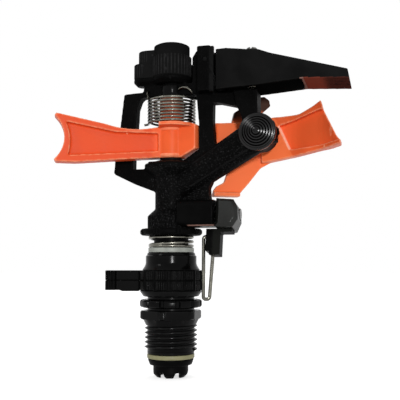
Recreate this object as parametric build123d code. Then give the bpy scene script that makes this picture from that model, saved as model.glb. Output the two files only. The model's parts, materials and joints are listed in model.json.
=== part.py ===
"""Plastic impact sprinkler with a half-inch pipe thread, as separate pieces.

Millimetres. The origin is on the swivel axis at the underside of the hex flange,
where the thread ends. +Z is up and the nozzle points along +X.
"""
from build123d import *
import math
import os

# Running and seating clearances
RUN_GAP = 0.05
SEAT_GAP = 0.05
STOP_GAP = 0.3

# Inlet nipple, from the pipe thread upwards
THREAD_R = 10.48
THREAD_LENGTH = 12.3
THREAD_CHAMFER = 0.8
PILOT_WALL = 2.4
PILOT_LENGTH = 1.2
HEX_FLATS = 22.0
HEX_HEIGHT = 3.34
HEX_CORNER_R = 12.3
NECK_HEIGHT = 1.16
RIM_R = 12.3
RIM_HEIGHT = 3.15
RIM_ROUND = 1.1
RIM_NOTCHES = 12
RIM_NOTCH_WIDTH = 2.2
RIM_NOTCH_DEPTH = 0.9
UPPER_NECK_HEIGHT = 1.2
SEAT_R = 12.3
SEAT_LIP = 1.7
SEAT_HEIGHT = 2.35
COLLAR_SEAT_R = 9.2
SHOULDER_STEP = 1.3
SHOULDER_FLARE = 2.8
BARREL_STEP = 0.65
BARREL_HEIGHT = 2.8
CROWN_WALL = 2.55
CROWN_HEIGHT = 1.4

# Arc-stop collars
COLLAR_HEIGHT = 3.85
COLLAR_R = 12.1
COLLAR_LOBES = 14
COLLAR_LOBE_R = 1.25
COLLAR_LOBE_RISE = 0.6
TAB_REACH = 26.0
TAB_WIDTH = 5.6
TAB_NECK_WIDTH = 3.4
TAB_GRIP_LENGTH = 4.2
TAB_GRIP_ROUND = 0.8
TAB_GROOVE_R = 0.45
TAB_WEB_DROP = 0.45
TAB_WEB_LENGTH = 8.0
TAB_ANGLE = 195.0

# Spindle with its lower flange and castellated end
SPINDLE_R = 6.9
SPINDLE_WALL = 2.0
SPINDLE_SOCKET = 8.0
SPINDLE_FLANGE_WIDTH = 2.1
SPINDLE_FLANGE_TAPER = 0.7
SPINDLE_FLANGE_EDGE = 0.6
SPINDLE_FLANGE_HEIGHT = 2.5
CLAW_LENGTH = 4.9
CLAW_COUNT = 6
CLAW_SLOT_WIDTH = 2.4
CLAW_SLOT_DEPTH = 2.1
CLAW_ROUND = 1.4
CLAW_TURN = 12.0
WEAR_WASHER_WIDTH = 2.45
WEAR_WASHER_HEIGHT = 1.7
SEAL_WIDTH = 1.4
SEAL_HEIGHT = 1.0

# Washer and spring between nipple and head
UPPER_WASHER_WIDTH = 2.2
UPPER_WASHER_HEIGHT = 1.9
BEARING_SPRING_INSET = 1.55
BEARING_WIRE_R = 0.6
BEARING_SPRING_HEIGHT = 4.9
BEARING_TURNS = 2.5
BEARING_WIRE_SIDES = 8
DUST_RING_WIDTH = 2.9
DUST_RING_HEIGHT = 2.6
DUST_RING_EDGE = 0.7
DUST_RING_NOTCHES = 9
DUST_RING_NOTCH = 2.0
DUST_RING_TURN = 20.0

# Head moulding: hub, riser and the plate with both struts
HUB_R = 9.5
HUB_HEIGHT = 9.0
HUB_RIBS = 24
HUB_RIB_DEPTH = 0.6
HUB_RIB_WIDTH = 1.2
HUB_CHAMFER = 1.4
RISER_R = 6.5
ARM_SEAT_Z = 62.8
ARM_SEAT_R = 5.8
ARM_SEAT_DISC_R = 10.8
ARM_SEAT_DISC_HEIGHT = 2.0
ARM_SEAT_CONE = 1.5
PLATE_HALF = 2.5
BEAM_BOTTOM_Z = 89.2
BEAM_TOP_Z = 94.0
BOSS_HEIGHT = 2.9
WATERWAY_LEDGE = 0.6
SHAFT_SOCKET = 6.0

# Slanting nozzle tube, nozzle head, screw bracket and visor post
TUBE_ANGLE = 31.6
TUBE_START_Z = 50.1
TUBE_ROOT_R = 5.6
TUBE_END_R = 6.6
TUBE_BORE_R = 3.6
HEAD_X = 36.4
HEAD_Z = 72.0
HEAD_R = 6.3
HEAD_HALF = 6.0
PLUG_R = 7.3
PLUG_FLANGE = 1.6
PLUG_CONE = 1.2
PLUG_FACE_R = 5.0
PLUG_FACE = 1.6
PLUG_SHANK_R = 4.0
PLUG_SHANK_LENGTH = 2.6
PLUG_EDGE = 0.4
PLUG_GROOVES = (1.6, 3.1)
PLUG_GROOVE_HALF = 0.35
PLUG_SEAL_R = 0.45
PLUG_SEAL_DEPTH = 1.4
BRACKET_HALF = 4.5
BRACKET_X = 36.0
BEAM_LEFT_X = 15.0
BRACKET_TOP_Z = 89.3
POST_LEFT_X = 12.4
POST_RIGHT_X = 18.0
POST_TOP_Z = 107.4
POST_HALF = 7.5
POST_WEB_X = 9.3
POST_FOOT = 1.2
POST_FOOT_HEIGHT = 1.8

# Nozzle
NOZZLE_ANGLE = 9.0
NOZZLE_REACH = 7.4
NOZZLE_TIP_R = 1.5
NOZZLE_ROOT_R = 3.2
NOZZLE_BORE_R = 0.9
NOZZLE_SHANK_LENGTH = 4.6
NOZZLE_SEAL_R = 0.4

# Arm
ARM_ANGLE = 25.0
ARM_SHAFT_R = 1.5
ARM_WASHER_R = 4.6
ARM_WASHER_HEIGHT = 0.8
ARM_HALF = 3.2
ARM_WEB_HALF = 1.2
ARM_HUB_R = 5.6
ARM_BLOCK_REACH = 11.6
ARM_BLOCK_HALF = 4.0
ARM_BLOCK_GAP = 0.45
ARM_SLEEVE_R = 4.9
SPRING_SEAT_R = 10.6
SPRING_SEAT_Z = 77.4
SPRING_SEAT_THICKNESS = 1.4
BAR_HALF = 2.6
FINGER_HALF = 1.4
TAIL_LEFT_X = 17.0
TAIL_RIGHT_X = 27.9
TAIL_Z = 48.7
TAIL_FOOT = 1.7
ARM_SPRING_R = 9.45
ARM_WIRE_R = 0.42
ARM_WIRE_SIDES = 6
ARM_SPRING_TURNS = 7.5
SPOON_THICKNESS = 5.0
SPOON_WALL = 2.0

# Trip: housing, lever, hanger and wire
TRIP_Z = 40.9
HOUSING_LEFT_X = 5.0
HOUSING_REACH = 9.6
HOUSING_HALF = 9.3
HOUSING_BOTTOM_Z = 36.0
HOUSING_TOP_Z = 46.4
HOUSING_ROUND = 3.0
TRIP_PIN_R = 1.1
TRIP_PIN_WALL = 1.2
TRIP_PIN_HEAD = 1.0
TRIP_POCKET_WALL = 3.5
TRIP_POCKET_HALF = 4.5
TRIP_POCKET_DROP = 3.2
TRIP_POCKET_RISE = 3.4
TRIP_REST = 12.0
LEVER_GAP = 0.4
LEVER_LENGTH = 8.9
LEVER_BEVEL = 3.9
LEVER_BEVEL_Y = 2.4
LEVER_HALF = 6.6
LEVER_RISE = 5.3
LEVER_DROP = 6.3
LEVER_CHAMFER = 1.4
HANGER_WALL = 0.9
HANGER_WIDTH = 5.8
HANGER_HALF = 2.6
HANGER_FLANGE = 1.3
HANGER_FLANGE_REACH = 4.6
HANGER_STEP = 1.5
HANGER_HOLE = 2.6
HANGER_BOTTOM_Z = 24.3
TRIP_WIRE_R = 0.7
WIRE_FIT = 0.02
WIRE_INSET = 2.5
WIRE_SPREAD = 2.8
WIRE_TOP_Z = 32.0
WIRE_END_Z = 28.4
WIRE_BOTTOM_Z = 8.0
WIRE_TOP_BEND = 1.2
TRIP_SPRING_WIRE_R = 0.3
TRIP_SPRING_LENGTH = 4.0
TRIP_SPRING_TURNS = 5

# Visor, its hinge pin and its adjusting screw
VISOR_HALF = 9.3
VISOR_WALL = 1.7
VISOR_LEFT_X = 20.2
VISOR_LEFT_HALF = 7.6
VISOR_SHOULDER_X = 31.0
VISOR_TOP_Z = 105.5
VISOR_TIP_X = 71.4
VISOR_TIP_Z = 90.2
VISOR_LOWER_Z = 89.5
VISOR_PLATE_X = 53.2
VISOR_PLATE_Z = 91.1
VISOR_PLATE_WALL = 1.9
VISOR_PLATE_CHAMFER = 0.9
VISOR_GROOVES = 7
VISOR_GROOVE_X = 61.5
VISOR_GROOVE_HALF = 0.45
VISOR_GROOVE_DEPTH = 1.2
BEAM_NOTCH_GAP = 0.6
HINGE_X = 15.7
HINGE_Z = 102.0
HINGE_PIN_R = 0.9
HINGE_PIN_INSET = 0.4
TONGUE_HALF = 2.4
TONGUE_R = 1.9
TONGUE_ROOT = 3.2
SLOT_GAP = 0.3
SLOT_BOTTOM_Z = 97.4
SCREW_X = 33.2
SCREW_R = 1.5
SCREW_HEAD_R = 2.7
SCREW_HEAD_HEIGHT = 2.0
SCREW_HEAD_ROUND = 0.9
SCREW_SLOT_HALF = 0.35
SCREW_POINT = 1.2
SCREW_WASHER_R = 2.9
SCREW_WASHER_HEIGHT = 0.5
SCREW_BOSS_R = 3.4
SCREW_BOSS_TOP_Z = 104.4
SCREW_BOSS_CREST_R = 6.0
SCREW_SPOT_DEPTH = 1.5
SCREW_TIP_Z = 80.0
SCREW_HOLE_GAP = 0.2
SCREW_PLAY = 1.0

# Tension cap
CAP_R = 7.3
CAP_HEIGHT = 13.4
CAP_SKIRT_STEP = 0.5
CAP_SKIRT_HEIGHT = 8.9
CAP_WALL_TOP = 2.4
CAP_STUB_R = 5.2
CAP_LUG_R = 3.8
CAP_LUG_REACH = 10.1
CAP_LUG_HEIGHT = 11.4
CAP_STEP_REACH = 12.1
CAP_STEP_HEIGHT = 6.2
CAP_EDGE = 0.6
CAP_EDGE_WIDTH = 1.2
BOSS_MARGIN = 0.2
BOSS_CHAMFER = 1.6

# Radii and places that follow from the sizes above
PILOT_R = SPINDLE_R + PILOT_WALL
SEAT_LOWER_R = PILOT_R + SEAT_LIP
CROWN_R = SPINDLE_R + CROWN_WALL
CAP_SKIRT_R = CAP_R + CAP_SKIRT_STEP
BARREL_R = CROWN_R + BARREL_STEP
SHOULDER_R = BARREL_R + SHOULDER_STEP
SPINDLE_BORE_R = SPINDLE_R - SPINDLE_WALL
SPINDLE_FLANGE_R = SPINDLE_R + SPINDLE_FLANGE_WIDTH
WATERWAY_R = SPINDLE_BORE_R - WATERWAY_LEDGE
WEAR_WASHER_R = SPINDLE_R + WEAR_WASHER_WIDTH
SEAL_R = SPINDLE_R + SEAL_WIDTH
UPPER_WASHER_R = SPINDLE_R + UPPER_WASHER_WIDTH
BEARING_SPRING_R = SPINDLE_R + BEARING_SPRING_INSET
DUST_RING_R = HUB_R + DUST_RING_WIDTH
HOUSING_RIGHT_X = HUB_R + HOUSING_REACH
TRIP_PIN_X = HUB_R + TRIP_PIN_WALL
TRIP_POCKET_X = HUB_R + TRIP_POCKET_WALL
LEVER_X = HOUSING_RIGHT_X + LEVER_GAP
LEVER_RIGHT_X = LEVER_X + LEVER_LENGTH
WIRE_OUTER_X = LEVER_X - WIRE_INSET
WIRE_INNER_X = WIRE_OUTER_X - WIRE_SPREAD
HANGER_X = WIRE_OUTER_X - TRIP_WIRE_R - HANGER_WALL
HANGER_RIGHT_X = HANGER_X + HANGER_WIDTH

# Heights that follow from the sizes above
THREAD_BOTTOM_Z = -THREAD_LENGTH
NIPPLE_BOTTOM_Z = THREAD_BOTTOM_Z - PILOT_LENGTH
NECK_TOP_Z = HEX_HEIGHT + NECK_HEIGHT
RIM_TOP_Z = NECK_TOP_Z + RIM_HEIGHT
SEAT_BOTTOM_Z = RIM_TOP_Z + UPPER_NECK_HEIGHT
SEAT_TOP_Z = SEAT_BOTTOM_Z + SEAT_HEIGHT
LOWER_COLLAR_Z = SEAT_TOP_Z + SEAT_GAP
UPPER_COLLAR_Z = LOWER_COLLAR_Z + COLLAR_HEIGHT + SEAT_GAP
SHOULDER_Z = UPPER_COLLAR_Z + COLLAR_HEIGHT + SEAT_GAP
BARREL_Z = SHOULDER_Z + SHOULDER_FLARE
CROWN_Z = BARREL_Z + BARREL_HEIGHT
NIPPLE_TOP_Z = CROWN_Z + CROWN_HEIGHT
WASHER_TOP_Z = NIPPLE_TOP_Z + UPPER_WASHER_HEIGHT
HUB_BOTTOM_Z = WASHER_TOP_Z + BEARING_SPRING_HEIGHT
HUB_TOP_Z = HUB_BOTTOM_Z + HUB_HEIGHT
SPINDLE_FLANGE_Z = NIPPLE_BOTTOM_Z - WEAR_WASHER_HEIGHT
SPINDLE_BOTTOM_Z = SPINDLE_FLANGE_Z - SPINDLE_FLANGE_HEIGHT - CLAW_LENGTH
SPINDLE_TOP_Z = HUB_BOTTOM_Z + SPINDLE_SOCKET
BOSS_TOP_Z = BEAM_TOP_Z + BOSS_HEIGHT
CAP_Z = BOSS_TOP_Z + SEAT_GAP
CAP_TOP_Z = CAP_Z + CAP_HEIGHT
ARM_BOTTOM_Z = ARM_SEAT_Z + ARM_WASHER_HEIGHT + 2 * SEAT_GAP
SLEEVE_TOP_Z = BEAM_BOTTOM_Z - ARM_WASHER_HEIGHT - 2 * SEAT_GAP
GUSSET_BOTTOM_Z = HOUSING_TOP_Z + SEAT_GAP
LEVER_BOTTOM_Z = TRIP_Z - LEVER_DROP
SCREW_WASHER_Z = SCREW_BOSS_TOP_Z + SEAT_GAP
SCREW_HEAD_Z = SCREW_WASHER_Z + SCREW_WASHER_HEIGHT + SEAT_GAP


def turned(points):
    """Solid turned about the swivel axis from (radius, height) points."""
    return revolve(Plane.XZ * make_face(Polyline(*points, close=True)), Axis.Z)


def side_plate(points, half, y=0.0):
    """Plate with a side outline of (x, z) points, reaching half each side of y."""
    face = Plane.XZ * make_face(Polyline(*points, close=True))
    return Pos(0, y, 0) * extrude(face, amount=half, both=True)


def plan_plate(points, bottom, top):
    """Upright prism with a plan outline of (x, y) points."""
    return Pos(0, 0, bottom) * extrude(make_face(Polyline(*points, close=True)), top - bottom)


def disc(radius, bottom, top, x=0.0, y=0.0):
    """Upright cylinder between two heights."""
    return Pos(x, y, (bottom + top) / 2) * Cylinder(radius, top - bottom)


def ring(outer, inner, bottom, top):
    """Upright ring between two heights."""
    return disc(outer, bottom, top) - disc(inner, bottom - 1, top + 1)


def cross_pin(radius, x, z, y_low, y_high):
    """Cylinder along Y through the point (x, z)."""
    middle = (y_low + y_high) / 2
    return Pos(x, middle, z) * Rot(90, 0, 0) * Cylinder(radius, y_high - y_low)


def radial_pin(radius, x_low, x_high, y=0.0, z=0.0):
    """Cylinder along X."""
    return Pos((x_low + x_high) / 2, y, z) * Rot(0, 90, 0) * Cylinder(radius, x_high - x_low)


def block(x_low, x_high, y_low, y_high, z_low, z_high):
    """Box between two corners."""
    size = (x_high - x_low, y_high - y_low, z_high - z_low)
    centre = ((x_low + x_high) / 2, (y_low + y_high) / 2, (z_low + z_high) / 2)
    return Pos(*centre) * Box(*size)


def around(count, make):
    """The pieces that make(angle) gives at equal angles round the axis, as one."""
    pieces = [make(360.0 * index / count) for index in range(count)]
    return pieces[0].fuse(*pieces[1:])


def coil(radius, wire, sides, bottom, top, turns):
    """Helical spring between two heights of its wire centre, its round wire given flat sides."""
    height = top - bottom
    path = Pos(0, 0, bottom) * Helix(pitch=height / turns, height=height, radius=radius)
    start = Plane(origin=path @ 0, z_dir=path % 0)
    return sweep(start * RegularPolygon(wire, sides), path=path)


def tube_point(distance):
    """Point on the slanting tube's centre line, at a distance from the swivel axis."""
    angle = math.radians(TUBE_ANGLE)
    return (distance * math.cos(angle), 0, TUBE_START_Z + distance * math.sin(angle))


def along_tube(distance):
    """Location on the tube's centre line with Z along the tube."""
    return Pos(*tube_point(distance)) * Rot(0, 90 - TUBE_ANGLE, 0)


SPOON_PATH = FilletPolyline((32.0, 12.3), (47.0, 13.2), (59.3, 8.4), (68.6, -3.5), radius=12)
SPOON_STEPS = 24
TUBE_LENGTH = HEAD_X / math.cos(math.radians(TUBE_ANGLE))
ALONG_NOZZLE = Pos(HEAD_X, 0, HEAD_Z) * Rot(0, 90 - NOZZLE_ANGLE, 0)


def make_inlet_nipple():
    """Nipple with thread, hex, rim, collar seat and crown, bored for the spindle."""
    bore = SPINDLE_R + RUN_GAP
    body = turned([
        (bore, NIPPLE_BOTTOM_Z), (PILOT_R, NIPPLE_BOTTOM_Z), (PILOT_R, THREAD_BOTTOM_Z),
        (THREAD_R - THREAD_CHAMFER, THREAD_BOTTOM_Z), (THREAD_R, THREAD_BOTTOM_Z + THREAD_CHAMFER),
        (THREAD_R, 0), (PILOT_R, HEX_HEIGHT), (PILOT_R, NECK_TOP_Z), (RIM_R, NECK_TOP_Z),
        (RIM_R, RIM_TOP_Z), (PILOT_R, RIM_TOP_Z), (PILOT_R, SEAT_BOTTOM_Z), (SEAT_LOWER_R, SEAT_BOTTOM_Z),
        (SEAT_R, SEAT_TOP_Z), (COLLAR_SEAT_R, SEAT_TOP_Z), (COLLAR_SEAT_R, SHOULDER_Z),
        (SHOULDER_R, SHOULDER_Z), (BARREL_R, BARREL_Z), (BARREL_R, CROWN_Z),
        (CROWN_R, NIPPLE_TOP_Z), (bore, NIPPLE_TOP_Z)])
    circles = body.edges().filter_by(GeomType.CIRCLE).filter_by(lambda edge: edge.radius > RIM_R - 0.01)
    rim_edges = circles.filter_by_position(Axis.Z, NECK_TOP_Z - 0.1, RIM_TOP_Z + 0.1)
    body = fillet(rim_edges, RIM_ROUND)
    flats = extrude(RegularPolygon(HEX_FLATS / 2, 6, major_radius=False, rotation=30), HEX_HEIGHT)
    body += flats & disc(HEX_CORNER_R, 0, HEX_HEIGHT)
    notch = block(RIM_R - RIM_NOTCH_DEPTH, RIM_R + 1, -RIM_NOTCH_WIDTH / 2, RIM_NOTCH_WIDTH / 2,
                  NECK_TOP_Z - 0.1, RIM_TOP_Z + 0.1)
    body -= around(RIM_NOTCHES, lambda angle: Rot(0, 0, angle) * notch)
    body -= disc(bore, NIPPLE_BOTTOM_Z - 1, NIPPLE_TOP_Z + 1)
    return body - disc(SEAL_R + RUN_GAP, NIPPLE_BOTTOM_Z - 1, NIPPLE_BOTTOM_Z + SEAL_HEIGHT)


def make_collar(bottom, web_drop):
    """Arc-stop collar with grip lobes and one finger tab pointing along TAB_ANGLE."""
    top = bottom + COLLAR_HEIGHT
    lobe_centre = COLLAR_R + COLLAR_LOBE_RISE - COLLAR_LOBE_R
    lobe = disc(COLLAR_LOBE_R, bottom, top, x=lobe_centre)
    body = disc(COLLAR_R, bottom, top)
    body += around(COLLAR_LOBES, lambda angle: Rot(0, 0, angle) * lobe)
    grip_start = TAB_REACH - TAB_GRIP_LENGTH
    neck = block(COLLAR_SEAT_R + 1, grip_start, -TAB_NECK_WIDTH / 2, TAB_NECK_WIDTH / 2, bottom, top)
    web_x = SEAT_R + STOP_GAP
    web = side_plate([(web_x, bottom + 1), (web_x + TAB_WEB_LENGTH, bottom + 1),
                      (web_x + TAB_WEB_LENGTH, bottom), (web_x + TAB_WEB_LENGTH - 1.5, bottom - web_drop),
                      (web_x, bottom - web_drop)], TAB_NECK_WIDTH / 2)
    grip = block(grip_start, TAB_REACH, -TAB_WIDTH / 2, TAB_WIDTH / 2, bottom, top)
    grip = fillet(grip.edges().filter_by(Axis.Z), TAB_GRIP_ROUND)
    for index in range(2):
        groove_x = grip_start + TAB_GRIP_LENGTH * (index + 1) / 3
        for side in (-1, 1):
            grip -= disc(TAB_GROOVE_R, bottom - 1, top + 1, x=groove_x, y=side * TAB_WIDTH / 2)
    body += Rot(0, 0, TAB_ANGLE) * neck.fuse(web, grip)
    return body - disc(COLLAR_SEAT_R + RUN_GAP, bottom - 2, top + 2)


def make_spindle():
    """Swivel tube with its lower flange and castellated water inlet."""
    claw_top = SPINDLE_FLANGE_Z - SPINDLE_FLANGE_HEIGHT
    body = turned([
        (SPINDLE_BORE_R, SPINDLE_BOTTOM_Z), (SPINDLE_R - CLAW_ROUND, SPINDLE_BOTTOM_Z),
        (SPINDLE_R, SPINDLE_BOTTOM_Z + CLAW_ROUND), (SPINDLE_R, claw_top),
        (SPINDLE_FLANGE_R - SPINDLE_FLANGE_TAPER, claw_top),
        (SPINDLE_FLANGE_R, SPINDLE_FLANGE_Z - SPINDLE_FLANGE_EDGE),
        (SPINDLE_FLANGE_R, SPINDLE_FLANGE_Z), (SPINDLE_R, SPINDLE_FLANGE_Z),
        (SPINDLE_R, SPINDLE_TOP_Z), (SPINDLE_BORE_R, SPINDLE_TOP_Z)])
    slot = block(0, SPINDLE_R + 1, -CLAW_SLOT_WIDTH / 2, CLAW_SLOT_WIDTH / 2,
                 SPINDLE_BOTTOM_Z - 1, SPINDLE_BOTTOM_Z + CLAW_SLOT_DEPTH)
    return body - around(CLAW_COUNT, lambda angle: Rot(0, 0, angle + CLAW_TURN) * slot)


def make_dust_ring():
    """Notched ring round the lower end of the hub."""
    body = ring(DUST_RING_R, HUB_R + SEAT_GAP, HUB_BOTTOM_Z, HUB_BOTTOM_Z + DUST_RING_HEIGHT)
    rim = body.edges().filter_by(GeomType.CIRCLE).filter_by(lambda edge: edge.radius > HUB_R + 1)
    body = chamfer(rim, DUST_RING_EDGE)
    notch = disc(DUST_RING_NOTCH / 2, HUB_BOTTOM_Z - 1, HUB_BOTTOM_Z + DUST_RING_HEIGHT + 1, x=DUST_RING_R)
    return body - around(DUST_RING_NOTCHES, lambda angle: Rot(0, 0, angle + DUST_RING_TURN) * notch)


def strut_plate():
    """Plate with the left strut, the beam, the right strut and the gusset to the riser."""
    outline = [
        (-RISER_R + 0.3, TUBE_START_Z + 0.2), (-14.5, 53.5), (-23.2, 57.7), (-23.9, 58.5), (-23.5, 63.0),
        (-21.4, 77.0), (-19.8, 90.5), (-19.2, 91.0), (-11.5, 91.3), (-11.0, BEAM_TOP_Z),
        (POST_LEFT_X + 1, BEAM_TOP_Z), (POST_RIGHT_X - 0.4, BEAM_TOP_Z), (17.9, 86.0), (17.7, 78.0),
        (18.7, 66.0), (17.0, 53.4), (16.0, 51.4), (16.4, GUSSET_BOTTOM_Z), (4, GUSSET_BOTTOM_Z)]
    window = [
        (-15.8, 59.8), (-15.7, 64.0), (-14.8, 76.4), (-14.3, 84.7), (-13.0, BEAM_BOTTOM_Z - 1),
        (-11.8, BEAM_BOTTOM_Z), (11.0, BEAM_BOTTOM_Z), (ARM_BLOCK_REACH + ARM_BLOCK_GAP, SPRING_SEAT_Z),
        (ARM_BLOCK_REACH + ARM_BLOCK_GAP, 67.0), (6.6, 63.4), (ARM_SEAT_R, ARM_SEAT_Z),
        (-9.0, ARM_SEAT_Z), (-10.4, 59.8)]
    return side_plate(outline, PLATE_HALF) - side_plate(window, PLATE_HALF + 1)


def bracket_plates():
    """Beam to the bracket, the thicker bracket over the nozzle head, the post, its web and its foot."""
    beam = side_plate([(BEAM_LEFT_X, BRACKET_TOP_Z), (30, BRACKET_TOP_Z), (30, 82), (27.6, 83.4),
                       (17.2, 86.0), (BEAM_LEFT_X, 86.0)], PLATE_HALF)
    bracket = side_plate([(26.6, BRACKET_TOP_Z), (BRACKET_X, BRACKET_TOP_Z), (BRACKET_X, HEAD_Z + 3),
                          (30.5, HEAD_Z + 3), (29.6, 79.4), (27.8, 83.0)], BRACKET_HALF)
    post = block(POST_LEFT_X, POST_RIGHT_X, -POST_HALF, POST_HALF, BRACKET_TOP_Z, POST_TOP_Z)
    post = chamfer(post.edges().filter_by(Axis.Z), 0.6)
    web_right = POST_LEFT_X + 0.5
    web = side_plate([(POST_WEB_X, BEAM_TOP_Z - 1), (web_right, BEAM_TOP_Z - 1),
                      (web_right, POST_TOP_Z - 0.3), (POST_WEB_X + 1.7, POST_TOP_Z - 0.5),
                      (POST_WEB_X, POST_TOP_Z - 3.2)], PLATE_HALF)
    foot = block(POST_RIGHT_X - 0.5, POST_RIGHT_X + POST_FOOT, -PLATE_HALF, PLATE_HALF,
                 BRACKET_TOP_Z - 1, BRACKET_TOP_Z + POST_FOOT_HEIGHT)
    return [beam, bracket, post, web, foot]


def cam_outline(radius, reach, lug_radius):
    """Outline of the cap: a circle on the axis and a narrower lug with a round end."""
    return Circle(radius) + Pos(-reach / 2, 0) * SlotCenterToCenter(reach, 2 * lug_radius)


def top_boss():
    """Boss with the cap's outline on top of the beam, undercut at its lower edge, and the cap's stub."""
    outline = cam_outline(CAP_SKIRT_R + BOSS_MARGIN, CAP_STEP_REACH, CAP_LUG_R + BOSS_MARGIN)
    boss = Pos(0, 0, BEAM_TOP_Z) * extrude(outline, BOSS_HEIGHT)
    boss = chamfer(boss.edges().group_by(Axis.Z)[0], BOSS_CHAMFER)
    return [boss, disc(CAP_STUB_R, BOSS_TOP_Z - 0.5, CAP_TOP_Z - CAP_WALL_TOP - 1.0)]


def make_sprinkler_body():
    """The head's one moulding, hollow for the water from the spindle to the nozzle."""
    hub = turned([(0, HUB_BOTTOM_Z), (HUB_R, HUB_BOTTOM_Z), (HUB_R, HUB_TOP_Z - HUB_CHAMFER),
                  (HUB_R - HUB_CHAMFER, HUB_TOP_Z), (RISER_R, HUB_TOP_Z + 1.4), (0, HUB_TOP_Z + 1.4)])
    groove = block(HUB_R - HUB_RIB_DEPTH, HUB_R + 1, -HUB_RIB_WIDTH / 2, HUB_RIB_WIDTH / 2,
                   HUB_BOTTOM_Z + DUST_RING_HEIGHT + 0.6, HUB_TOP_Z - HUB_CHAMFER)
    hub -= around(HUB_RIBS, lambda angle: Rot(0, 0, angle) * groove)
    riser = disc(RISER_R, HUB_TOP_Z, ARM_SEAT_Z - ARM_SEAT_CONE)
    disc_bottom = ARM_SEAT_Z - ARM_SEAT_CONE - ARM_SEAT_DISC_HEIGHT
    seat = turned([(0, disc_bottom - 3), (RISER_R, disc_bottom - 3), (ARM_SEAT_DISC_R, disc_bottom),
                   (ARM_SEAT_DISC_R, disc_bottom + ARM_SEAT_DISC_HEIGHT), (ARM_SEAT_R, ARM_SEAT_Z),
                   (0, ARM_SEAT_Z)])
    tube = along_tube(TUBE_LENGTH / 2) * Cone(TUBE_ROOT_R, TUBE_END_R, TUBE_LENGTH)
    head = cross_pin(HEAD_R, HEAD_X, HEAD_Z, -HEAD_HALF, HEAD_HALF)
    muzzle = ALONG_NOZZLE * Pos(0, 0, HEAD_R / 2) * Cylinder(NOZZLE_ROOT_R + 1.2, HEAD_R)
    body = hub.fuse(riser, seat, tube, head, muzzle, strut_plate(), *bracket_plates(), *top_boss())
    body -= disc(SPINDLE_R + SEAT_GAP, HUB_BOTTOM_Z - 1, SPINDLE_TOP_Z + SEAT_GAP)
    body -= disc(WATERWAY_R, SPINDLE_TOP_Z - 1, TUBE_START_Z)
    body -= along_tube(TUBE_LENGTH / 2) * Cylinder(TUBE_BORE_R, TUBE_LENGTH)
    body -= ALONG_NOZZLE * Pos(0, 0, HEAD_R) * Cylinder(NOZZLE_ROOT_R + SEAT_GAP, 2 * NOZZLE_SHANK_LENGTH)
    body -= cross_pin(PLUG_R + 0.3, HEAD_X, HEAD_Z, -HEAD_HALF - 4, -HEAD_HALF)
    body -= cross_pin(PLUG_SHANK_R + SEAT_GAP, HEAD_X, HEAD_Z, -HEAD_HALF - 1,
                      -HEAD_HALF + PLUG_SHANK_LENGTH + STOP_GAP)
    body -= disc(ARM_SHAFT_R + 0.01, ARM_SEAT_Z - SHAFT_SOCKET, BOSS_TOP_Z + SHAFT_SOCKET)
    body -= disc(SCREW_R + RUN_GAP, SCREW_TIP_Z - 1.6, BRACKET_TOP_Z + 1, x=SCREW_X)
    slot_half = TONGUE_HALF + SLOT_GAP
    body -= block(HINGE_X - TONGUE_R - SLOT_GAP, POST_RIGHT_X + 1, -slot_half, slot_half,
                  SLOT_BOTTOM_Z, POST_TOP_Z + 1)
    body -= cross_pin(HINGE_PIN_R + 0.01, HINGE_X, HINGE_Z, -POST_HALF - 1, POST_HALF + 1)
    return body


def make_stream_vane():
    """Cross-shaped straightener in the slanting tube."""
    length = 12.0
    cross = Box(2 * TUBE_BORE_R, 0.8, length) + Box(0.8, 2 * TUBE_BORE_R, length)
    cross &= Cylinder(TUBE_BORE_R - 0.02, length)
    return along_tube(TUBE_LENGTH * 0.55) * cross


def make_side_plug():
    """Stepped round plug that closes the side of the nozzle head."""
    face_z = PLUG_FLANGE + PLUG_CONE + PLUG_FACE
    plug = turned([
        (0, -PLUG_SHANK_LENGTH), (PLUG_SHANK_R, -PLUG_SHANK_LENGTH), (PLUG_SHANK_R, 0), (PLUG_R, 0),
        (PLUG_R, PLUG_FLANGE), (PLUG_FACE_R + 0.6, PLUG_FLANGE + PLUG_CONE),
        (PLUG_FACE_R, face_z - PLUG_EDGE), (PLUG_FACE_R - PLUG_EDGE, face_z), (0, face_z)])
    for groove_r in PLUG_GROOVES:
        groove_low = groove_r - PLUG_GROOVE_HALF
        plug -= ring(groove_r + PLUG_GROOVE_HALF, groove_low, face_z - PLUG_EDGE, face_z + 1)
    groove_half = PLUG_SEAL_R + SEAT_GAP
    plug -= ring(PLUG_SHANK_R + 1, PLUG_SHANK_R - 2 * PLUG_SEAL_R, -PLUG_SEAL_DEPTH - groove_half,
                 -PLUG_SEAL_DEPTH + groove_half)
    return Pos(HEAD_X, -HEAD_HALF, HEAD_Z) * Rot(90, 0, 0) * plug


def make_plug_seal():
    """Rubber ring in the plug's groove."""
    seal = Torus(PLUG_SHANK_R - PLUG_SEAL_R + 0.01, PLUG_SEAL_R)
    return Pos(HEAD_X, -HEAD_HALF + PLUG_SEAL_DEPTH, HEAD_Z) * Rot(90, 0, 0) * seal


def make_nozzle():
    """Tapered nozzle insert, bored through."""
    root = HEAD_R - NOZZLE_SHANK_LENGTH
    outline = [(NOZZLE_BORE_R, NOZZLE_REACH), (NOZZLE_TIP_R - 0.2, NOZZLE_REACH),
               (NOZZLE_TIP_R, NOZZLE_REACH - 0.3), (NOZZLE_TIP_R + 0.5, HEAD_R + 0.4),
               (NOZZLE_ROOT_R, HEAD_R), (NOZZLE_ROOT_R, root + 2.4),
               (NOZZLE_ROOT_R - 0.8, root + 2.4), (NOZZLE_ROOT_R - 0.8, root + 1.2),
               (NOZZLE_ROOT_R, root + 1.2), (NOZZLE_ROOT_R, root), (NOZZLE_ROOT_R - 0.6, root)]
    return ALONG_NOZZLE * turned(outline)


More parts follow.
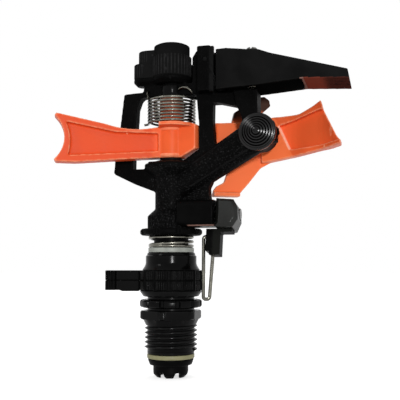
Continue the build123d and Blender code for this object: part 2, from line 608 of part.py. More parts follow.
def make_nozzle_seal():
    """Rubber ring in the nozzle's groove."""
    root = HEAD_R - NOZZLE_SHANK_LENGTH
    return ALONG_NOZZLE * Pos(0, 0, root + 1.8) * Torus(NOZZLE_ROOT_R - NOZZLE_SEAL_R, NOZZLE_SEAL_R)


def make_arm_shaft():
    """Steel shaft from the riser to the top boss."""
    shaft = disc(ARM_SHAFT_R, ARM_SEAT_Z - SHAFT_SOCKET, BOSS_TOP_Z + SHAFT_SOCKET)
    ends = shaft.edges().filter_by(GeomType.CIRCLE)
    return chamfer(ends, 0.3)


def washer(outer, bottom, top):
    """Washer that the spindle turns in."""
    return ring(outer, SPINDLE_R + 2 * RUN_GAP, bottom, top)


def make_arm_washer(bottom):
    """Thrust washer of the arm."""
    return ring(ARM_WASHER_R, ARM_SHAFT_R + 0.02, bottom, bottom + ARM_WASHER_HEIGHT)


def counterweight():
    """Fishtail counterweight of the arm, with a recessed panel on each side."""
    with BuildSketch(Plane.XZ) as outline:
        with BuildLine():
            Polyline((0, ARM_BOTTOM_Z), (-6, ARM_BOTTOM_Z), (-22.7, 62.5))
            Line((-22.7, 62.5), (-38.4, 61.2))
            Line((-38.4, 61.2), (-45.9, 61.3))
            Line((-45.9, 61.3), (-46.6, 62.2))
            ThreePointArc((-46.6, 62.2), (-42.7, 71.2), (-46.6, 79.6))
            Line((-46.6, 79.6), (-45.9, 80.6))
            Line((-45.9, 80.6), (-26.5, 76.7))
            ThreePointArc((-26.5, 76.7), (-14.5, 75.0), (-5.5, 76.3))
            Line((-5.5, 76.3), (0, 77.0))
            Line((0, 77.0), (0, ARM_BOTTOM_Z))
        make_face()
    with BuildSketch(Plane.XZ) as panel:
        with BuildLine():
            Line((-5.7, 66.4), (-41.2, 63.9))
            ThreePointArc((-41.2, 63.9), (-40.4, 70.8), (-42.2, 77.2))
            Line((-42.2, 77.2), (-22.8, 73.6))
            Line((-22.8, 73.6), (-5.7, 73.5))
            Line((-5.7, 73.5), (-5.7, 66.4))
        make_face()
    body = extrude(outline.sketch, ARM_HALF, both=True)
    recess_depth = ARM_HALF - ARM_WEB_HALF
    recess = extrude(panel.sketch, recess_depth, both=True)
    shift = ARM_WEB_HALF + recess_depth
    body -= Pos(0, shift, 0) * recess
    body -= Pos(0, -shift, 0) * recess
    return body


def arm_hub():
    """Hub, spring seat and sleeve round the shaft."""
    hub = disc(ARM_HUB_R, ARM_BOTTOM_Z, SPRING_SEAT_Z - SPRING_SEAT_THICKNESS)
    seat = disc(SPRING_SEAT_R, SPRING_SEAT_Z - SPRING_SEAT_THICKNESS, SPRING_SEAT_Z)
    sleeve = disc(ARM_SLEEVE_R, SPRING_SEAT_Z - 1, SLEEVE_TOP_Z)
    return [hub, seat, sleeve]


def arm_stop_block():
    """Block of the arm between hub and right strut, inside the circle that clears the strut."""
    bottom = ARM_BOTTOM_Z + 0.1
    top = SPRING_SEAT_Z - 0.4
    outline = [(0, bottom), (5.0, bottom), (12.2, bottom + 4.0), (12.2, top), (0, top)]
    return side_plate(outline, ARM_BLOCK_HALF) & disc(ARM_BLOCK_REACH, bottom - 1, top + 1)


def arm_bar():
    """Bar behind the nozzle tube, with the rising finger and the tail, in the arm's own plane."""
    bar = side_plate([(4, 77.0), (11, 77.0), (16, 78.6), (24.5, 79.0), (40.5, 80.8), (42, 66),
                      (20, 68), (12.5, 67.6), (4, 66.5)], BAR_HALF)
    finger = side_plate([(24.5, 78.0), (25.9, 83.6), (36.2, 90.2), (38.6, 90.8), (40.8, 89.2),
                         (41.2, 86.8), (30.5, 77.2)], FINGER_HALF)
    tail = side_plate([(TAIL_LEFT_X, TAIL_Z), (TAIL_RIGHT_X, TAIL_Z), (28.0, 50.0), (31.7, 54.2),
                       (36.8, 60.6), (41.1, 63.0), (43.0, 64.0), (43.0, 72), (20, 72), (20.5, 66),
                       (22.8, 58.5), (21.5, 54.6), (18.3, 52.9), (TAIL_LEFT_X, 51.1)], ARM_WEB_HALF)
    foot = block(TAIL_LEFT_X, TAIL_RIGHT_X, -BAR_HALF, BAR_HALF, TAIL_Z, TAIL_Z + TAIL_FOOT)
    return [bar, finger, tail, foot]


def spoon_band(near, far):
    """Upright band that follows the spoon's curve, between two distances behind its near face."""
    face = make_face(Polyline(
        *[beside_spoon(step, near) for step in range(SPOON_STEPS + 1)],
        *[beside_spoon(step, far) for step in range(SPOON_STEPS, -1, -1)], close=True))
    return Pos(0, 0, 60) * extrude(face, 30)


def beside_spoon(step, distance):
    """Plan point at a distance behind the spoon's near face."""
    position = step / SPOON_STEPS
    point = SPOON_PATH @ position
    direction = SPOON_PATH % position
    return (point.X - direction.Y * distance, point.Y + direction.X * distance)


def make_drive_arm():
    """The orange impact arm, one moulding, turned to its rest against the right strut."""
    turn = Rot(0, 0, ARM_ANGLE)
    outline = side_plate([(34.5, 80.4), (38.3, 81.2), (50.3, 82.0), (55.6, 84.3), (59.3, 86.4),
                          (60.1, 83.0), (65.4, 71.4), (67.3, 68.7), (67.3, 67.2), (58.6, 66.6),
                          (46.0, 64.6), (37.3, 63.0), (34.5, 62.6)], 40)
    pocket = side_plate([(41.7, 77.6), (58.0, 82.6), (75.0, 84.0), (75.0, 68.9), (66.0, 68.9),
                         (46.1, 67.8)], 40)
    scoop = spoon_band(0.0, SPOON_THICKNESS) & outline
    scoop -= spoon_band(-1.0, SPOON_THICKNESS - SPOON_WALL) & pocket
    pad = block(12.8, 17.6, PLATE_HALF + STOP_GAP, 9.0, 72.5, 78.2)
    body = turn * counterweight()
    body = body.fuse(arm_stop_block(), scoop, pad, *[turn * piece for piece in arm_hub() + arm_bar()])
    return body - disc(ARM_SHAFT_R + RUN_GAP, 55, 95)


def make_trip_housing():
    """Rounded housing that wraps the hub's side and carries the trip pin."""
    body = block(HOUSING_LEFT_X, HOUSING_RIGHT_X, -HOUSING_HALF, HOUSING_HALF, HOUSING_BOTTOM_Z,
                 HOUSING_TOP_Z)
    body = fillet(body.edges().filter_by(Axis.X), HOUSING_ROUND)
    body -= turned([(0, HOUSING_BOTTOM_Z - 1), (HUB_R + SEAT_GAP, HOUSING_BOTTOM_Z - 1),
                    (HUB_R + SEAT_GAP, HUB_TOP_Z), (RISER_R + SEAT_GAP, HUB_TOP_Z + 1.8),
                    (RISER_R + SEAT_GAP, HOUSING_TOP_Z + 1), (0, HOUSING_TOP_Z + 1)])
    body -= block(TRIP_POCKET_X, HOUSING_RIGHT_X + 1, -TRIP_POCKET_HALF, TRIP_POCKET_HALF,
                  TRIP_Z - TRIP_POCKET_DROP, TRIP_Z + TRIP_POCKET_RISE)
    return body - radial_pin(TRIP_PIN_R + 0.01, TRIP_PIN_X, TRIP_POCKET_X + 1, z=TRIP_Z)


def make_trip_pivot():
    """Headed pin that the trip lever rocks on."""
    head_x = LEVER_RIGHT_X - TRIP_PIN_HEAD
    shank = radial_pin(TRIP_PIN_R, TRIP_PIN_X, head_x, z=TRIP_Z)
    return shank + radial_pin(2 * TRIP_PIN_R, head_x, head_x + TRIP_PIN_HEAD, z=TRIP_Z)


def make_trip_spring():
    """Over-centre spring wound on the trip pin inside the housing."""
    spring = coil(TRIP_PIN_R + TRIP_SPRING_WIRE_R + RUN_GAP, TRIP_SPRING_WIRE_R, ARM_WIRE_SIDES, 0,
                  TRIP_SPRING_LENGTH, TRIP_SPRING_TURNS)
    return Pos(TRIP_POCKET_X + 1.6, 0, TRIP_Z) * Rot(0, 90, 0) * spring


def trip_tilt():
    """Location that turns the upright trip parts to their rest tilt about the trip pin."""
    return Pos(0, 0, TRIP_Z) * Rot(-TRIP_REST, 0, 0) * Pos(0, 0, -TRIP_Z)


def make_trip_lever():
    """Rocking hammer on the trip pin."""
    right = LEVER_RIGHT_X
    hammer = side_plate([(LEVER_X, LEVER_BOTTOM_Z), (right - 2.0, LEVER_BOTTOM_Z), (right, TRIP_Z - 3.2),
                         (right - 0.3, TRIP_Z + 1.6), (right - 1.9, TRIP_Z + LEVER_RISE - 0.6),
                         (LEVER_X, TRIP_Z + LEVER_RISE)], LEVER_HALF)
    hammer &= plan_plate([(LEVER_X, -LEVER_HALF), (right, -LEVER_HALF), (right, LEVER_BEVEL_Y),
                          (right - LEVER_BEVEL, LEVER_HALF), (LEVER_X, LEVER_HALF)],
                         LEVER_BOTTOM_Z, TRIP_Z + LEVER_RISE)
    face = hammer.faces().sort_by(Axis.Y)
    hammer = chamfer(face[0].edges() + face[-1].edges(), LEVER_CHAMFER)
    hammer -= block(LEVER_X + 1.4, right - 1.2, -LEVER_HALF + 1.6, LEVER_HALF - 1.6,
                    TRIP_Z + 2.6, TRIP_Z + LEVER_RISE + 1)
    hammer -= radial_pin(TRIP_PIN_R + RUN_GAP, LEVER_X - 1, right + 1, z=TRIP_Z)
    hammer -= radial_pin(2 * TRIP_PIN_R + STOP_GAP, right - TRIP_PIN_HEAD - SEAT_GAP, right + 1, z=TRIP_Z)
    return trip_tilt() * hammer


def make_trip_hanger():
    """Clip under the lever, with one hole in its side and one in its foot for the wire's ends."""
    flange = block(HANGER_X, HANGER_RIGHT_X + HANGER_FLANGE_REACH, -HANGER_HALF, HANGER_HALF,
                   LEVER_BOTTOM_Z - HANGER_FLANGE, LEVER_BOTTOM_Z)
    leg = block(HANGER_X, HANGER_RIGHT_X, -HANGER_HALF, HANGER_HALF, HANGER_BOTTOM_Z, LEVER_BOTTOM_Z)
    step = block(HANGER_X - 1, HANGER_X + HANGER_STEP, -HANGER_HALF, HANGER_HALF, HANGER_BOTTOM_Z - 1,
                 HANGER_BOTTOM_Z + HANGER_STEP)
    hanger = flange + leg - step
    hanger -= radial_pin(TRIP_WIRE_R + WIRE_FIT, HANGER_X - 1, HANGER_X + HANGER_HOLE, z=WIRE_TOP_Z)
    hanger -= disc(TRIP_WIRE_R + WIRE_FIT, HANGER_BOTTOM_Z - 1, WIRE_END_Z + WIRE_FIT, x=WIRE_OUTER_X)
    return trip_tilt() * hanger


def make_trip_wire():
    """Hairpin wire, one end hooked into the hanger's side and one standing in its foot."""
    bend = WIRE_SPREAD / 2 - 0.01
    path = FilletPolyline(
        (HANGER_X + HANGER_HOLE - WIRE_FIT, 0, WIRE_TOP_Z), (WIRE_INNER_X, 0, WIRE_TOP_Z),
        (WIRE_INNER_X, 0, WIRE_BOTTOM_Z), (WIRE_OUTER_X, 0, WIRE_BOTTOM_Z), (WIRE_OUTER_X, 0, WIRE_END_Z),
        radius=[WIRE_TOP_BEND, bend, bend])
    start = Plane(origin=path @ 0, z_dir=path % 0)
    return trip_tilt() * sweep(start * Circle(TRIP_WIRE_R), path=path)


def visor_top():
    """Side outline of the visor's top, from the hinge end to the tip."""
    return [(VISOR_LEFT_X, VISOR_TOP_Z), (24.5, VISOR_TOP_Z - 0.1), (32.4, 104.0), (37.6, 103.5),
            (42.0, 101.8), (57.1, 97.5), (70.8, 93.6)]


def visor_plan(inset):
    """Plan of the visor's hood, moved inwards by inset at its end and sides."""
    side = [(VISOR_LEFT_X + inset, VISOR_LEFT_HALF - inset), (VISOR_SHOULDER_X, VISOR_HALF - inset),
            (VISOR_TIP_X + 2, VISOR_HALF - inset)]
    return side + [(x, -y) for x, y in reversed(side)]


def visor_tip_plate():
    """Flat underside of the visor's tip and the grooves at its far end."""
    upper_z = VISOR_PLATE_Z + VISOR_PLATE_WALL
    plate = side_plate([
        (VISOR_PLATE_X, upper_z), (VISOR_PLATE_X, VISOR_PLATE_Z + VISOR_PLATE_CHAMFER),
        (VISOR_PLATE_X + VISOR_PLATE_CHAMFER, VISOR_PLATE_Z), (VISOR_TIP_X, VISOR_TIP_Z),
        (VISOR_TIP_X, upper_z), (VISOR_TIP_X, upper_z + 1), (VISOR_PLATE_X, upper_z + 1)], VISOR_HALF - 0.5)
    spacing = 2 * (VISOR_HALF - VISOR_WALL) / VISOR_GROOVES
    groove_z = VISOR_TIP_Z + VISOR_GROOVE_DEPTH
    groove = side_plate([
        (VISOR_GROOVE_X, VISOR_TIP_Z - 1), (VISOR_GROOVE_X, VISOR_PLATE_Z), (VISOR_GROOVE_X + 1, groove_z),
        (VISOR_TIP_X + 1, groove_z), (VISOR_TIP_X + 1, VISOR_TIP_Z - 1)], VISOR_GROOVE_HALF)
    middle = (VISOR_GROOVES - 1) / 2
    grooves = [Pos(0, (index - middle) * spacing, 0) * groove for index in range(VISOR_GROOVES)]
    return plate, grooves[0].fuse(*grooves[1:])


def make_visor():
    """Jet deflector: a hood open below, with a grooved plate at the tip and a hinge tongue."""
    top = visor_top()
    hood = side_plate([*top, (VISOR_TIP_X, VISOR_TIP_Z), (54.0, 91.2), (36.0, 89.8),
                       (VISOR_LEFT_X, VISOR_LOWER_Z)], 20)
    low_z = VISOR_LOWER_Z - 10
    high_z = VISOR_TOP_Z + 5
    hood &= plan_plate(visor_plan(0), low_z, high_z)
    inside = side_plate([*[(x, z - VISOR_WALL) for x, z in top], (VISOR_TIP_X + 2, 91.4),
                         (VISOR_TIP_X + 2, low_z), (VISOR_LEFT_X, low_z)], 20)
    shell = hood - (inside & plan_plate(visor_plan(VISOR_WALL), low_z, high_z))
    plate, grooves = visor_tip_plate()
    shell = shell + (plate & hood) - grooves
    shell -= disc(SCREW_BOSS_R, SCREW_BOSS_TOP_Z - SCREW_SPOT_DEPTH, SCREW_BOSS_TOP_Z + 5, x=SCREW_X)
    notch_half = PLATE_HALF + BEAM_NOTCH_GAP
    shell -= block(VISOR_LEFT_X - 1, VISOR_LEFT_X + VISOR_WALL + 1, -notch_half, notch_half,
                   BRACKET_TOP_Z - 1, BRACKET_TOP_Z + 2 * BEAM_NOTCH_GAP)
    boss = disc(SCREW_BOSS_R, SCREW_BOSS_TOP_Z - 4.4, SCREW_BOSS_TOP_Z, x=SCREW_X)
    boss &= cross_pin(SCREW_BOSS_CREST_R, SCREW_X, SCREW_BOSS_TOP_Z - SCREW_BOSS_CREST_R, -10, 10)
    tongue = Pos(0, TONGUE_HALF, 0) * extrude(Plane.XZ * make_hull([
        *(Pos(HINGE_X, HINGE_Z) * Circle(TONGUE_R)).edges(),
        *(Pos(VISOR_LEFT_X + 0.4, HINGE_Z) * Rectangle(0.6, 2 * TONGUE_ROOT)).edges()]), 2 * TONGUE_HALF)
    visor = shell.fuse(boss, tongue)
    hole_r = SCREW_R + SCREW_HOLE_GAP
    visor -= block(SCREW_X - SCREW_PLAY, SCREW_X + SCREW_PLAY, -hole_r, hole_r, low_z, high_z)
    for side in (-1, 1):
        visor -= disc(hole_r, low_z, high_z, x=SCREW_X + side * SCREW_PLAY)
    return visor - cross_pin(HINGE_PIN_R + RUN_GAP, HINGE_X, HINGE_Z, -10, 10)


def make_visor_pin():
    """Hinge pin pressed into both ears of the post, its ends below their faces."""
    reach = POST_HALF - HINGE_PIN_INSET
    return cross_pin(HINGE_PIN_R, HINGE_X, HINGE_Z, -reach, reach)


def make_screw_washer():
    """Washer between the screw's head and the visor."""
    washer = ring(SCREW_WASHER_R, SCREW_R + RUN_GAP, SCREW_WASHER_Z, SCREW_WASHER_Z + SCREW_WASHER_HEIGHT)
    return Pos(SCREW_X, 0, 0) * washer


def make_visor_screw():
    """Adjusting screw: domed head with a slot, shank and pointed end."""
    head_top = SCREW_HEAD_Z + SCREW_HEAD_HEIGHT
    screw = turned([
        (0, SCREW_TIP_Z), (SCREW_R / 2, SCREW_TIP_Z), (SCREW_R, SCREW_TIP_Z + SCREW_POINT),
        (SCREW_R, SCREW_HEAD_Z), (SCREW_HEAD_R, SCREW_HEAD_Z), (SCREW_HEAD_R, head_top - SCREW_HEAD_ROUND),
        (SCREW_HEAD_R - SCREW_HEAD_ROUND, head_top), (0, head_top)])
    screw -= block(-SCREW_SLOT_HALF, SCREW_SLOT_HALF, -SCREW_HEAD_R - 1, SCREW_HEAD_R + 1,
                   head_top - SCREW_HEAD_ROUND, head_top + 1)
    return Pos(SCREW_X, 0, 0) * screw


def make_tension_cap():
    """Round cap with a wider skirt and a two-step lever lug, hollow for the stub."""
    skirt_z = CAP_Z + CAP_SKIRT_HEIGHT
    cap = turned([(0, CAP_Z), (CAP_SKIRT_R, CAP_Z), (CAP_SKIRT_R, skirt_z - CAP_SKIRT_STEP),
                  (CAP_R, skirt_z), (CAP_R, CAP_TOP_Z - CAP_EDGE),
                  (CAP_R - CAP_EDGE_WIDTH, CAP_TOP_Z), (0, CAP_TOP_Z)])
    for reach, height in ((CAP_STEP_REACH, CAP_STEP_HEIGHT), (CAP_LUG_REACH, CAP_LUG_HEIGHT)):
        cap += Pos(0, 0, CAP_Z) * extrude(cam_outline(CAP_R, reach, CAP_LUG_R), height)
    return cap - disc(CAP_STUB_R + RUN_GAP, CAP_Z - 1, CAP_TOP_Z - CAP_WALL_TOP)


def make_arm_spring():
    """Torsion spring between the arm's seat and the beam."""
    bottom = SPRING_SEAT_Z + ARM_WIRE_R + 0.02
    top = BEAM_BOTTOM_Z - ARM_WIRE_R - STOP_GAP
    return coil(ARM_SPRING_R, ARM_WIRE_R, ARM_WIRE_SIDES, bottom, top, ARM_SPRING_TURNS)


def make_bearing_spring():
    """Compression spring between the upper washer and the hub."""
    bottom = WASHER_TOP_Z + BEARING_WIRE_R + SEAT_GAP
    top = HUB_BOTTOM_Z - BEARING_WIRE_R - 0.02
    return coil(BEARING_SPRING_R, BEARING_WIRE_R, BEARING_WIRE_SIDES, bottom, top, BEARING_TURNS)


def make_pieces():
    """Every piece of the sprinkler under its node name."""
    return {
        "inlet_nipple": make_inlet_nipple(),
        "upper_washer": washer(UPPER_WASHER_R, NIPPLE_TOP_Z, WASHER_TOP_Z),
        "seal_washer": washer(SEAL_R, NIPPLE_BOTTOM_Z, NIPPLE_BOTTOM_Z + SEAL_HEIGHT),
        "lower_collar": make_collar(LOWER_COLLAR_Z, TAB_WEB_DROP),
        "upper_collar": make_collar(UPPER_COLLAR_Z, -SEAT_GAP),
        "sprinkler_body": make_sprinkler_body(),
        "spindle": make_spindle(),
        "wear_washer": washer(WEAR_WASHER_R, SPINDLE_FLANGE_Z, NIPPLE_BOTTOM_Z - SEAT_GAP),
        "dust_ring": make_dust_ring(),
        "bearing_spring": make_bearing_spring(),
        "arm_shaft": make_arm_shaft(),
        "arm_lower_washer": make_arm_washer(ARM_SEAT_Z),
        "arm_upper_washer": make_arm_washer(BEAM_BOTTOM_Z - ARM_WASHER_HEIGHT),
        "nozzle": make_nozzle(),
        "nozzle_seal": make_nozzle_seal(),
        "side_plug": make_side_plug(),
        "plug_seal": make_plug_seal(),
        "trip_housing": make_trip_housing(),
        "trip_pivot": make_trip_pivot(),
        "trip_spring": make_trip_spring(),
        "visor_pin": make_visor_pin(),
        "stream_vane": make_stream_vane(),
        "drive_arm": make_drive_arm(),
        "arm_spring": make_arm_spring(),
        "trip_lever": make_trip_lever(),
        "trip_hanger": make_trip_hanger(),
        "trip_wire": make_trip_wire(),
        "visor": make_visor(),
        "screw_washer": make_screw_washer(),
        "visor_screw": make_visor_screw(),
        "tension_cap": make_tension_cap(),
    }


def main():
    """Writes one file for each piece."""
    os.makedirs("parts", exist_ok=True)
    for name, piece in make_pieces().items():
        export_step(piece, "parts/%s.step" % name)


if __name__ == "__main__":
    main()
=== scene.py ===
"""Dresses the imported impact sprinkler: rounded mouldings, springs, thread, materials, light and camera.

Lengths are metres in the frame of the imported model. The origin is on the swivel axis, +Z is up and
the nozzle points along +X.
"""
import json
import math

import bmesh
import bpy
from bpy.props import FloatProperty, FloatVectorProperty, IntProperty, PointerProperty
from bpy.types import Operator, Panel, PropertyGroup
from mathutils import Matrix, Vector


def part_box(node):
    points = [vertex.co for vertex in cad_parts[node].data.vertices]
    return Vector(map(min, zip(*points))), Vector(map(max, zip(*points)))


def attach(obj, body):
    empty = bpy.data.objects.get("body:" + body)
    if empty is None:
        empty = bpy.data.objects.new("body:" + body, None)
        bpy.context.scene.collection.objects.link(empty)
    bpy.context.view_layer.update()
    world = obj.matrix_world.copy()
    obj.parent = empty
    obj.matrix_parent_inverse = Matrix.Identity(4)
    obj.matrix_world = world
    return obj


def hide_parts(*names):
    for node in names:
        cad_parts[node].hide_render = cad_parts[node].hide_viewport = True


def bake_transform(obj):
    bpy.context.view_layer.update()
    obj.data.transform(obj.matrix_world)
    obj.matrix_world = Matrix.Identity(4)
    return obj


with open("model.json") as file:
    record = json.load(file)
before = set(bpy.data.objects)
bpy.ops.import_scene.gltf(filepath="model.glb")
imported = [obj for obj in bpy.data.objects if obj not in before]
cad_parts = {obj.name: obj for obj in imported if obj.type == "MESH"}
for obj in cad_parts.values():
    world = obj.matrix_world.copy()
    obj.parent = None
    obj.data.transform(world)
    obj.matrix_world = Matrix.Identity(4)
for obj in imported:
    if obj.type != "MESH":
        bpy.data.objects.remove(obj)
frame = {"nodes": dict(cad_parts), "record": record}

bl_info = {
    "name": "Impact sprinkler",
    "version": (1, 0, 0),
    "blender": (4, 5, 0),
    "location": "3D View > Sidebar > Sprinkler",
    "description": "Builds the visible pieces of a plastic impact sprinkler round its packed model",
    "category": "Object",
}

MM = 0.001
MOUNT = frame["record"]["mounts"][0]
THREAD_CREST = MOUNT["dims"]["r_mm"] * MM
MATERIALS = {}
TREES = {}


# Sizes and colours that a user would change

def length_property(name, description, default):
    """Length in metres."""
    return FloatProperty(name=name, description=description, default=default, unit="LENGTH", precision=5)


def colour_property(name, description, default):
    """Linear colour."""
    return FloatVectorProperty(name=name, description=description, default=default, subtype="COLOR",
                               size=3, min=0.0, max=1.0)


class SprinklerSizes(PropertyGroup):
    """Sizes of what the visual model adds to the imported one."""
    thread_pitch: length_property("Thread pitch", "Distance between the crests of the pipe thread", 1.814 * MM)
    thread_ridge: length_property("Thread ridge", "Radius of the triangle that is swept as the thread", 1.0 * MM)
    arm_wire: length_property("Arm spring wire", "Radius of the arm spring's wire", 0.47 * MM)
    arm_turns: FloatProperty(name="Arm spring turns", description="Turns of the arm spring", default=8.0)
    bearing_wire: length_property("Bearing spring wire", "Radius of the bearing spring's wire", 0.6 * MM)
    bearing_turns: FloatProperty(name="Bearing spring turns", description="Turns of the bearing spring",
                                 default=3.0)
    trip_wire: length_property("Trip wire", "Radius of the trip's hairpin wire", 0.7 * MM)
    wire_sides: IntProperty(name="Wire sides", description="Sides of a wire's section", default=12)
    cap_ribs: IntProperty(name="Cap ribs", description="Ribs round the skirt of the tension cap", default=34)
    collar_ribs: IntProperty(name="Collar ribs", description="Fine ribs round each arc-stop collar", default=84)
    coarse_voxel: length_property("Coarse voxel", "Remesh size of the large mouldings", 0.34 * MM)
    fine_voxel: length_property("Fine voxel", "Remesh size of the small mouldings", 0.22 * MM)


class SprinklerColours(PropertyGroup):
    """Colours of the sprinkler's materials."""
    moulding: colour_property("Black moulding", "Matte black of the head, visor and cap", (0.0012, 0.0012, 0.0012))
    gloss: colour_property("Gloss black", "Black of the nipple and the collars", (0.0010, 0.0010, 0.0010))
    worn: colour_property("Worn black", "Rubbed black of the trip's hammer", (0.0075, 0.0078, 0.0070))
    arm: colour_property("Arm", "Orange of the impact arm", (0.66, 0.068, 0.014))
    # Edge wear and painted highlight: lighter orange along the arm's edges and the pocket's rim.
    arm_edge_highlight: colour_property("Arm rims", "Lighter orange of the arm's edges", (0.90, 0.33, 0.18))
    # Painted light: paler orange for the bar, the tail, the hub and the spoon's pocket.
    arm_painted_light: colour_property("Faded arm", "Paler orange of the arm's bar and tail", (0.88, 0.165, 0.048))
    # Painted shade: brown up the sleeve inside the spring, and a darker copy on the finger.
    arm_painted_shade: colour_property("Arm recesses", "Brown of the arm inside its spring", (0.17, 0.072, 0.046))
    # Painted highlight: pink-grey lines along the trip housing's lower edge and the visor tip's front edge.
    glint: colour_property("Edge glint", "Pink-grey of rubbed black edges", (0.30, 0.17, 0.14))
    # Painted reflection: red-brown on the underside of the visor's tip.
    tip_reflection: colour_property("Visor tip", "Red-brown of the visor's underside at its tip", (0.20, 0.045, 0.028))
    steel: colour_property("Steel", "Stainless wire, pins and shaft", (0.145, 0.141, 0.12))
    pale_washer: colour_property("Upper washer", "Grey-white of the upper washer", (0.30, 0.315, 0.285))
    beige_washer: colour_property("Wear washer", "Beige of the lower washer", (0.23, 0.22, 0.12))
    rubber: colour_property("Rubber", "Seals", (0.02, 0.02, 0.02))
    floor: colour_property("Floor", "Pale studio floor", (0.86, 0.86, 0.86))


# Meshes

def add_piece(name, mesh, smooth=True):
    """Object at the origin for a finished mesh."""
    mesh.name = name
    if smooth:
        mesh.polygons.foreach_set("use_smooth", [True] * len(mesh.polygons))
    piece = bpy.data.objects.new(name, mesh)
    bpy.context.scene.collection.objects.link(piece)
    return piece


def mesh_from(points, faces):
    """Closed mesh whose faces are turned outwards."""
    mesh = bpy.data.meshes.new("part")
    mesh.from_pydata([tuple(point) for point in points], [], faces)
    work = bmesh.new()
    work.from_mesh(mesh)
    bmesh.ops.remove_doubles(work, verts=work.verts, dist=1e-7)
    bmesh.ops.recalc_face_normals(work, faces=work.faces)
    work.to_mesh(mesh)
    work.free()
    return mesh


def applied(piece):
    """The piece with its modifiers turned into plain mesh."""
    evaluated = piece.evaluated_get(bpy.context.evaluated_depsgraph_get())
    mesh = bpy.data.meshes.new_from_object(evaluated)
    old = piece.data
    piece.modifiers.clear()
    piece.data = mesh
    mesh.name = piece.name
    bpy.data.meshes.remove(old)
    return piece


def moulded(name, node, voxel, rounding=4, keep=0.5, cutter=None):
    """A CAD node's copy with the small radii of a moulding: cut, remeshed, smoothed and thinned."""
    mesh = frame["nodes"][node].data.copy()
    mesh.materials.clear()
    work = bmesh.new()
    work.from_mesh(mesh)
    bmesh.ops.remove_doubles(work, verts=work.verts, dist=1e-6)
    work.to_mesh(mesh)
    work.free()
    piece = add_piece(name, mesh)
    if cutter:
        cut = piece.modifiers.new("Cut", "BOOLEAN")
        cut.operation = "DIFFERENCE"
        cut.object = cutter
    remesh = piece.modifiers.new("Remesh", "REMESH")
    remesh.mode = "VOXEL"
    remesh.voxel_size = voxel
    remesh.use_smooth_shade = True
    smooth = piece.modifiers.new("Round", "SMOOTH")
    smooth.factor = 0.5
    smooth.iterations = rounding
    thin = piece.modifiers.new("Thin", "DECIMATE")
    thin.ratio = keep
    applied(piece)
    if cutter:
        bpy.data.objects.remove(cutter)
    return piece


def prism(name, plan, low, high, smooth=True):
    """Upright prism with a plan outline of (x, y) points."""
    count = len(plan)
    points = [(x, y, height) for height in (low, high) for x, y in plan]
    sides = [[i, (i + 1) % count, count + (i + 1) % count, count + i] for i in range(count)]
    faces = [list(range(count)), list(range(count, 2 * count)), *sides]
    return add_piece(name, mesh_from(points, faces), smooth)


def mark(piece, name, rule):
    """Stores rule(position, normal) of each vertex, kept from 0 to 1, for the materials to read."""
    mesh = piece.data
    attribute = mesh.attributes.new(name, "FLOAT", "POINT")
    values = [clamped(rule(vertex.co, vertex.normal)) for vertex in mesh.vertices]
    attribute.data.foreach_set("value", values)
    return piece


def between(value, low, high):
    """Share of the way from low to high."""
    return (value - low) / (high - low)


def clamped(value):
    """Value kept from 0 to 1."""
    return min(1.0, max(0.0, value))


# Painted shade on the coils' wire, by how far it faces away from the outside.
SHADE_SIDE = 1.15
SHADE_FRONT = 1.3


def shade_turns(piece):
    """Marks painted shade on a coil's wire where it turns away from the outside."""
    def rule(position, normal):
        outward = Vector((position.x, position.y, 0)).normalized()
        return SHADE_SIDE - SHADE_FRONT * max(0.0, normal.dot(outward))
    return mark(piece, "shade", rule)


def turned(radius, angle, height):
    """Point at a radius, an angle round the axis and a height."""
    return radius * math.cos(angle), radius * math.sin(angle), height


def lathe(name, profile, centre=Vector(), axis=Vector((0, 0, 1)), count=96, smooth_angle=35):
    """Solid turned from a closed loop of (radius, height) points about an axis through centre."""
    size = len(profile)
    points = [turned(radius, 2 * math.pi * step / count, height)
              for step in range(count) for radius, height in profile]
    faces = []
    for step in range(count):
        here, there = step * size, (step + 1) % count * size
        for index in range(size):
            after = (index + 1) % size
            faces.append([here + index, there + index, there + after, here + after])
    mesh = mesh_from(points, faces)
    mesh.transform(axis.to_track_quat("Z", "Y").to_matrix().to_4x4())
    mesh.transform(Matrix.Translation(centre))
    piece = add_piece(name, mesh)
    mesh.set_sharp_from_angle(angle=math.radians(smooth_angle))
    return piece


def rounded_ring(inner, outer, bottom, top, edge):
    """Lathe profile of a washer with small chamfers on its outer edges."""
    return [(inner, bottom), (outer - edge, bottom), (outer - 0.3 * edge, bottom + 0.3 * edge),
            (outer, bottom + edge), (outer, top - edge), (outer - 0.3 * edge, top - 0.3 * edge),
            (outer - edge, top), (inner, top)]


# Nodes

def set_inputs(node, values):
    """Fixed values at a node's inputs, whose names have underscores for spaces."""
    for label, value in values.items():
        node.inputs[label.replace("_", " ")].default_value = value
    return node


def add_node(tree, kind, **inputs):
    """Node with fixed values at its inputs."""
    return set_inputs(tree.nodes.new(kind), inputs)


def math_node(tree, operation, *values):
    """Math node with fixed values from its second input on."""
    node = tree.nodes.new("ShaderNodeMath")
    node.operation = operation
    for index, value in enumerate(values, 1):
        node.inputs[index].default_value = value
    return node


def map_range(tree, low, high, to_low=0.0, to_high=1.0):
    """Clamped linear mapping."""
    return add_node(tree, "ShaderNodeMapRange", From_Min=low, From_Max=high, To_Min=to_low, To_Max=to_high)


def wired(tree, *links):
    """Links (node, output, node, input) by the sockets' names or places."""
    for source, output, target, place in links:
        tree.links.new(source.outputs[output], target.inputs[place])


# Geometry Nodes trees

def new_tree(name, sockets):
    """Geometry tree with the named (name, type, default) inputs."""
    tree = bpy.data.node_groups.new(name, "GeometryNodeTree")
    tree.interface.new_socket("Geometry", in_out="OUTPUT", socket_type="NodeSocketGeometry")
    for label, kind, default in sockets:
        socket = tree.interface.new_socket(label, in_out="INPUT", socket_type=kind)
        if default is not None:
            socket.default_value = default
    return tree, tree.nodes.new("NodeGroupInput"), tree.nodes.new("NodeGroupOutput")


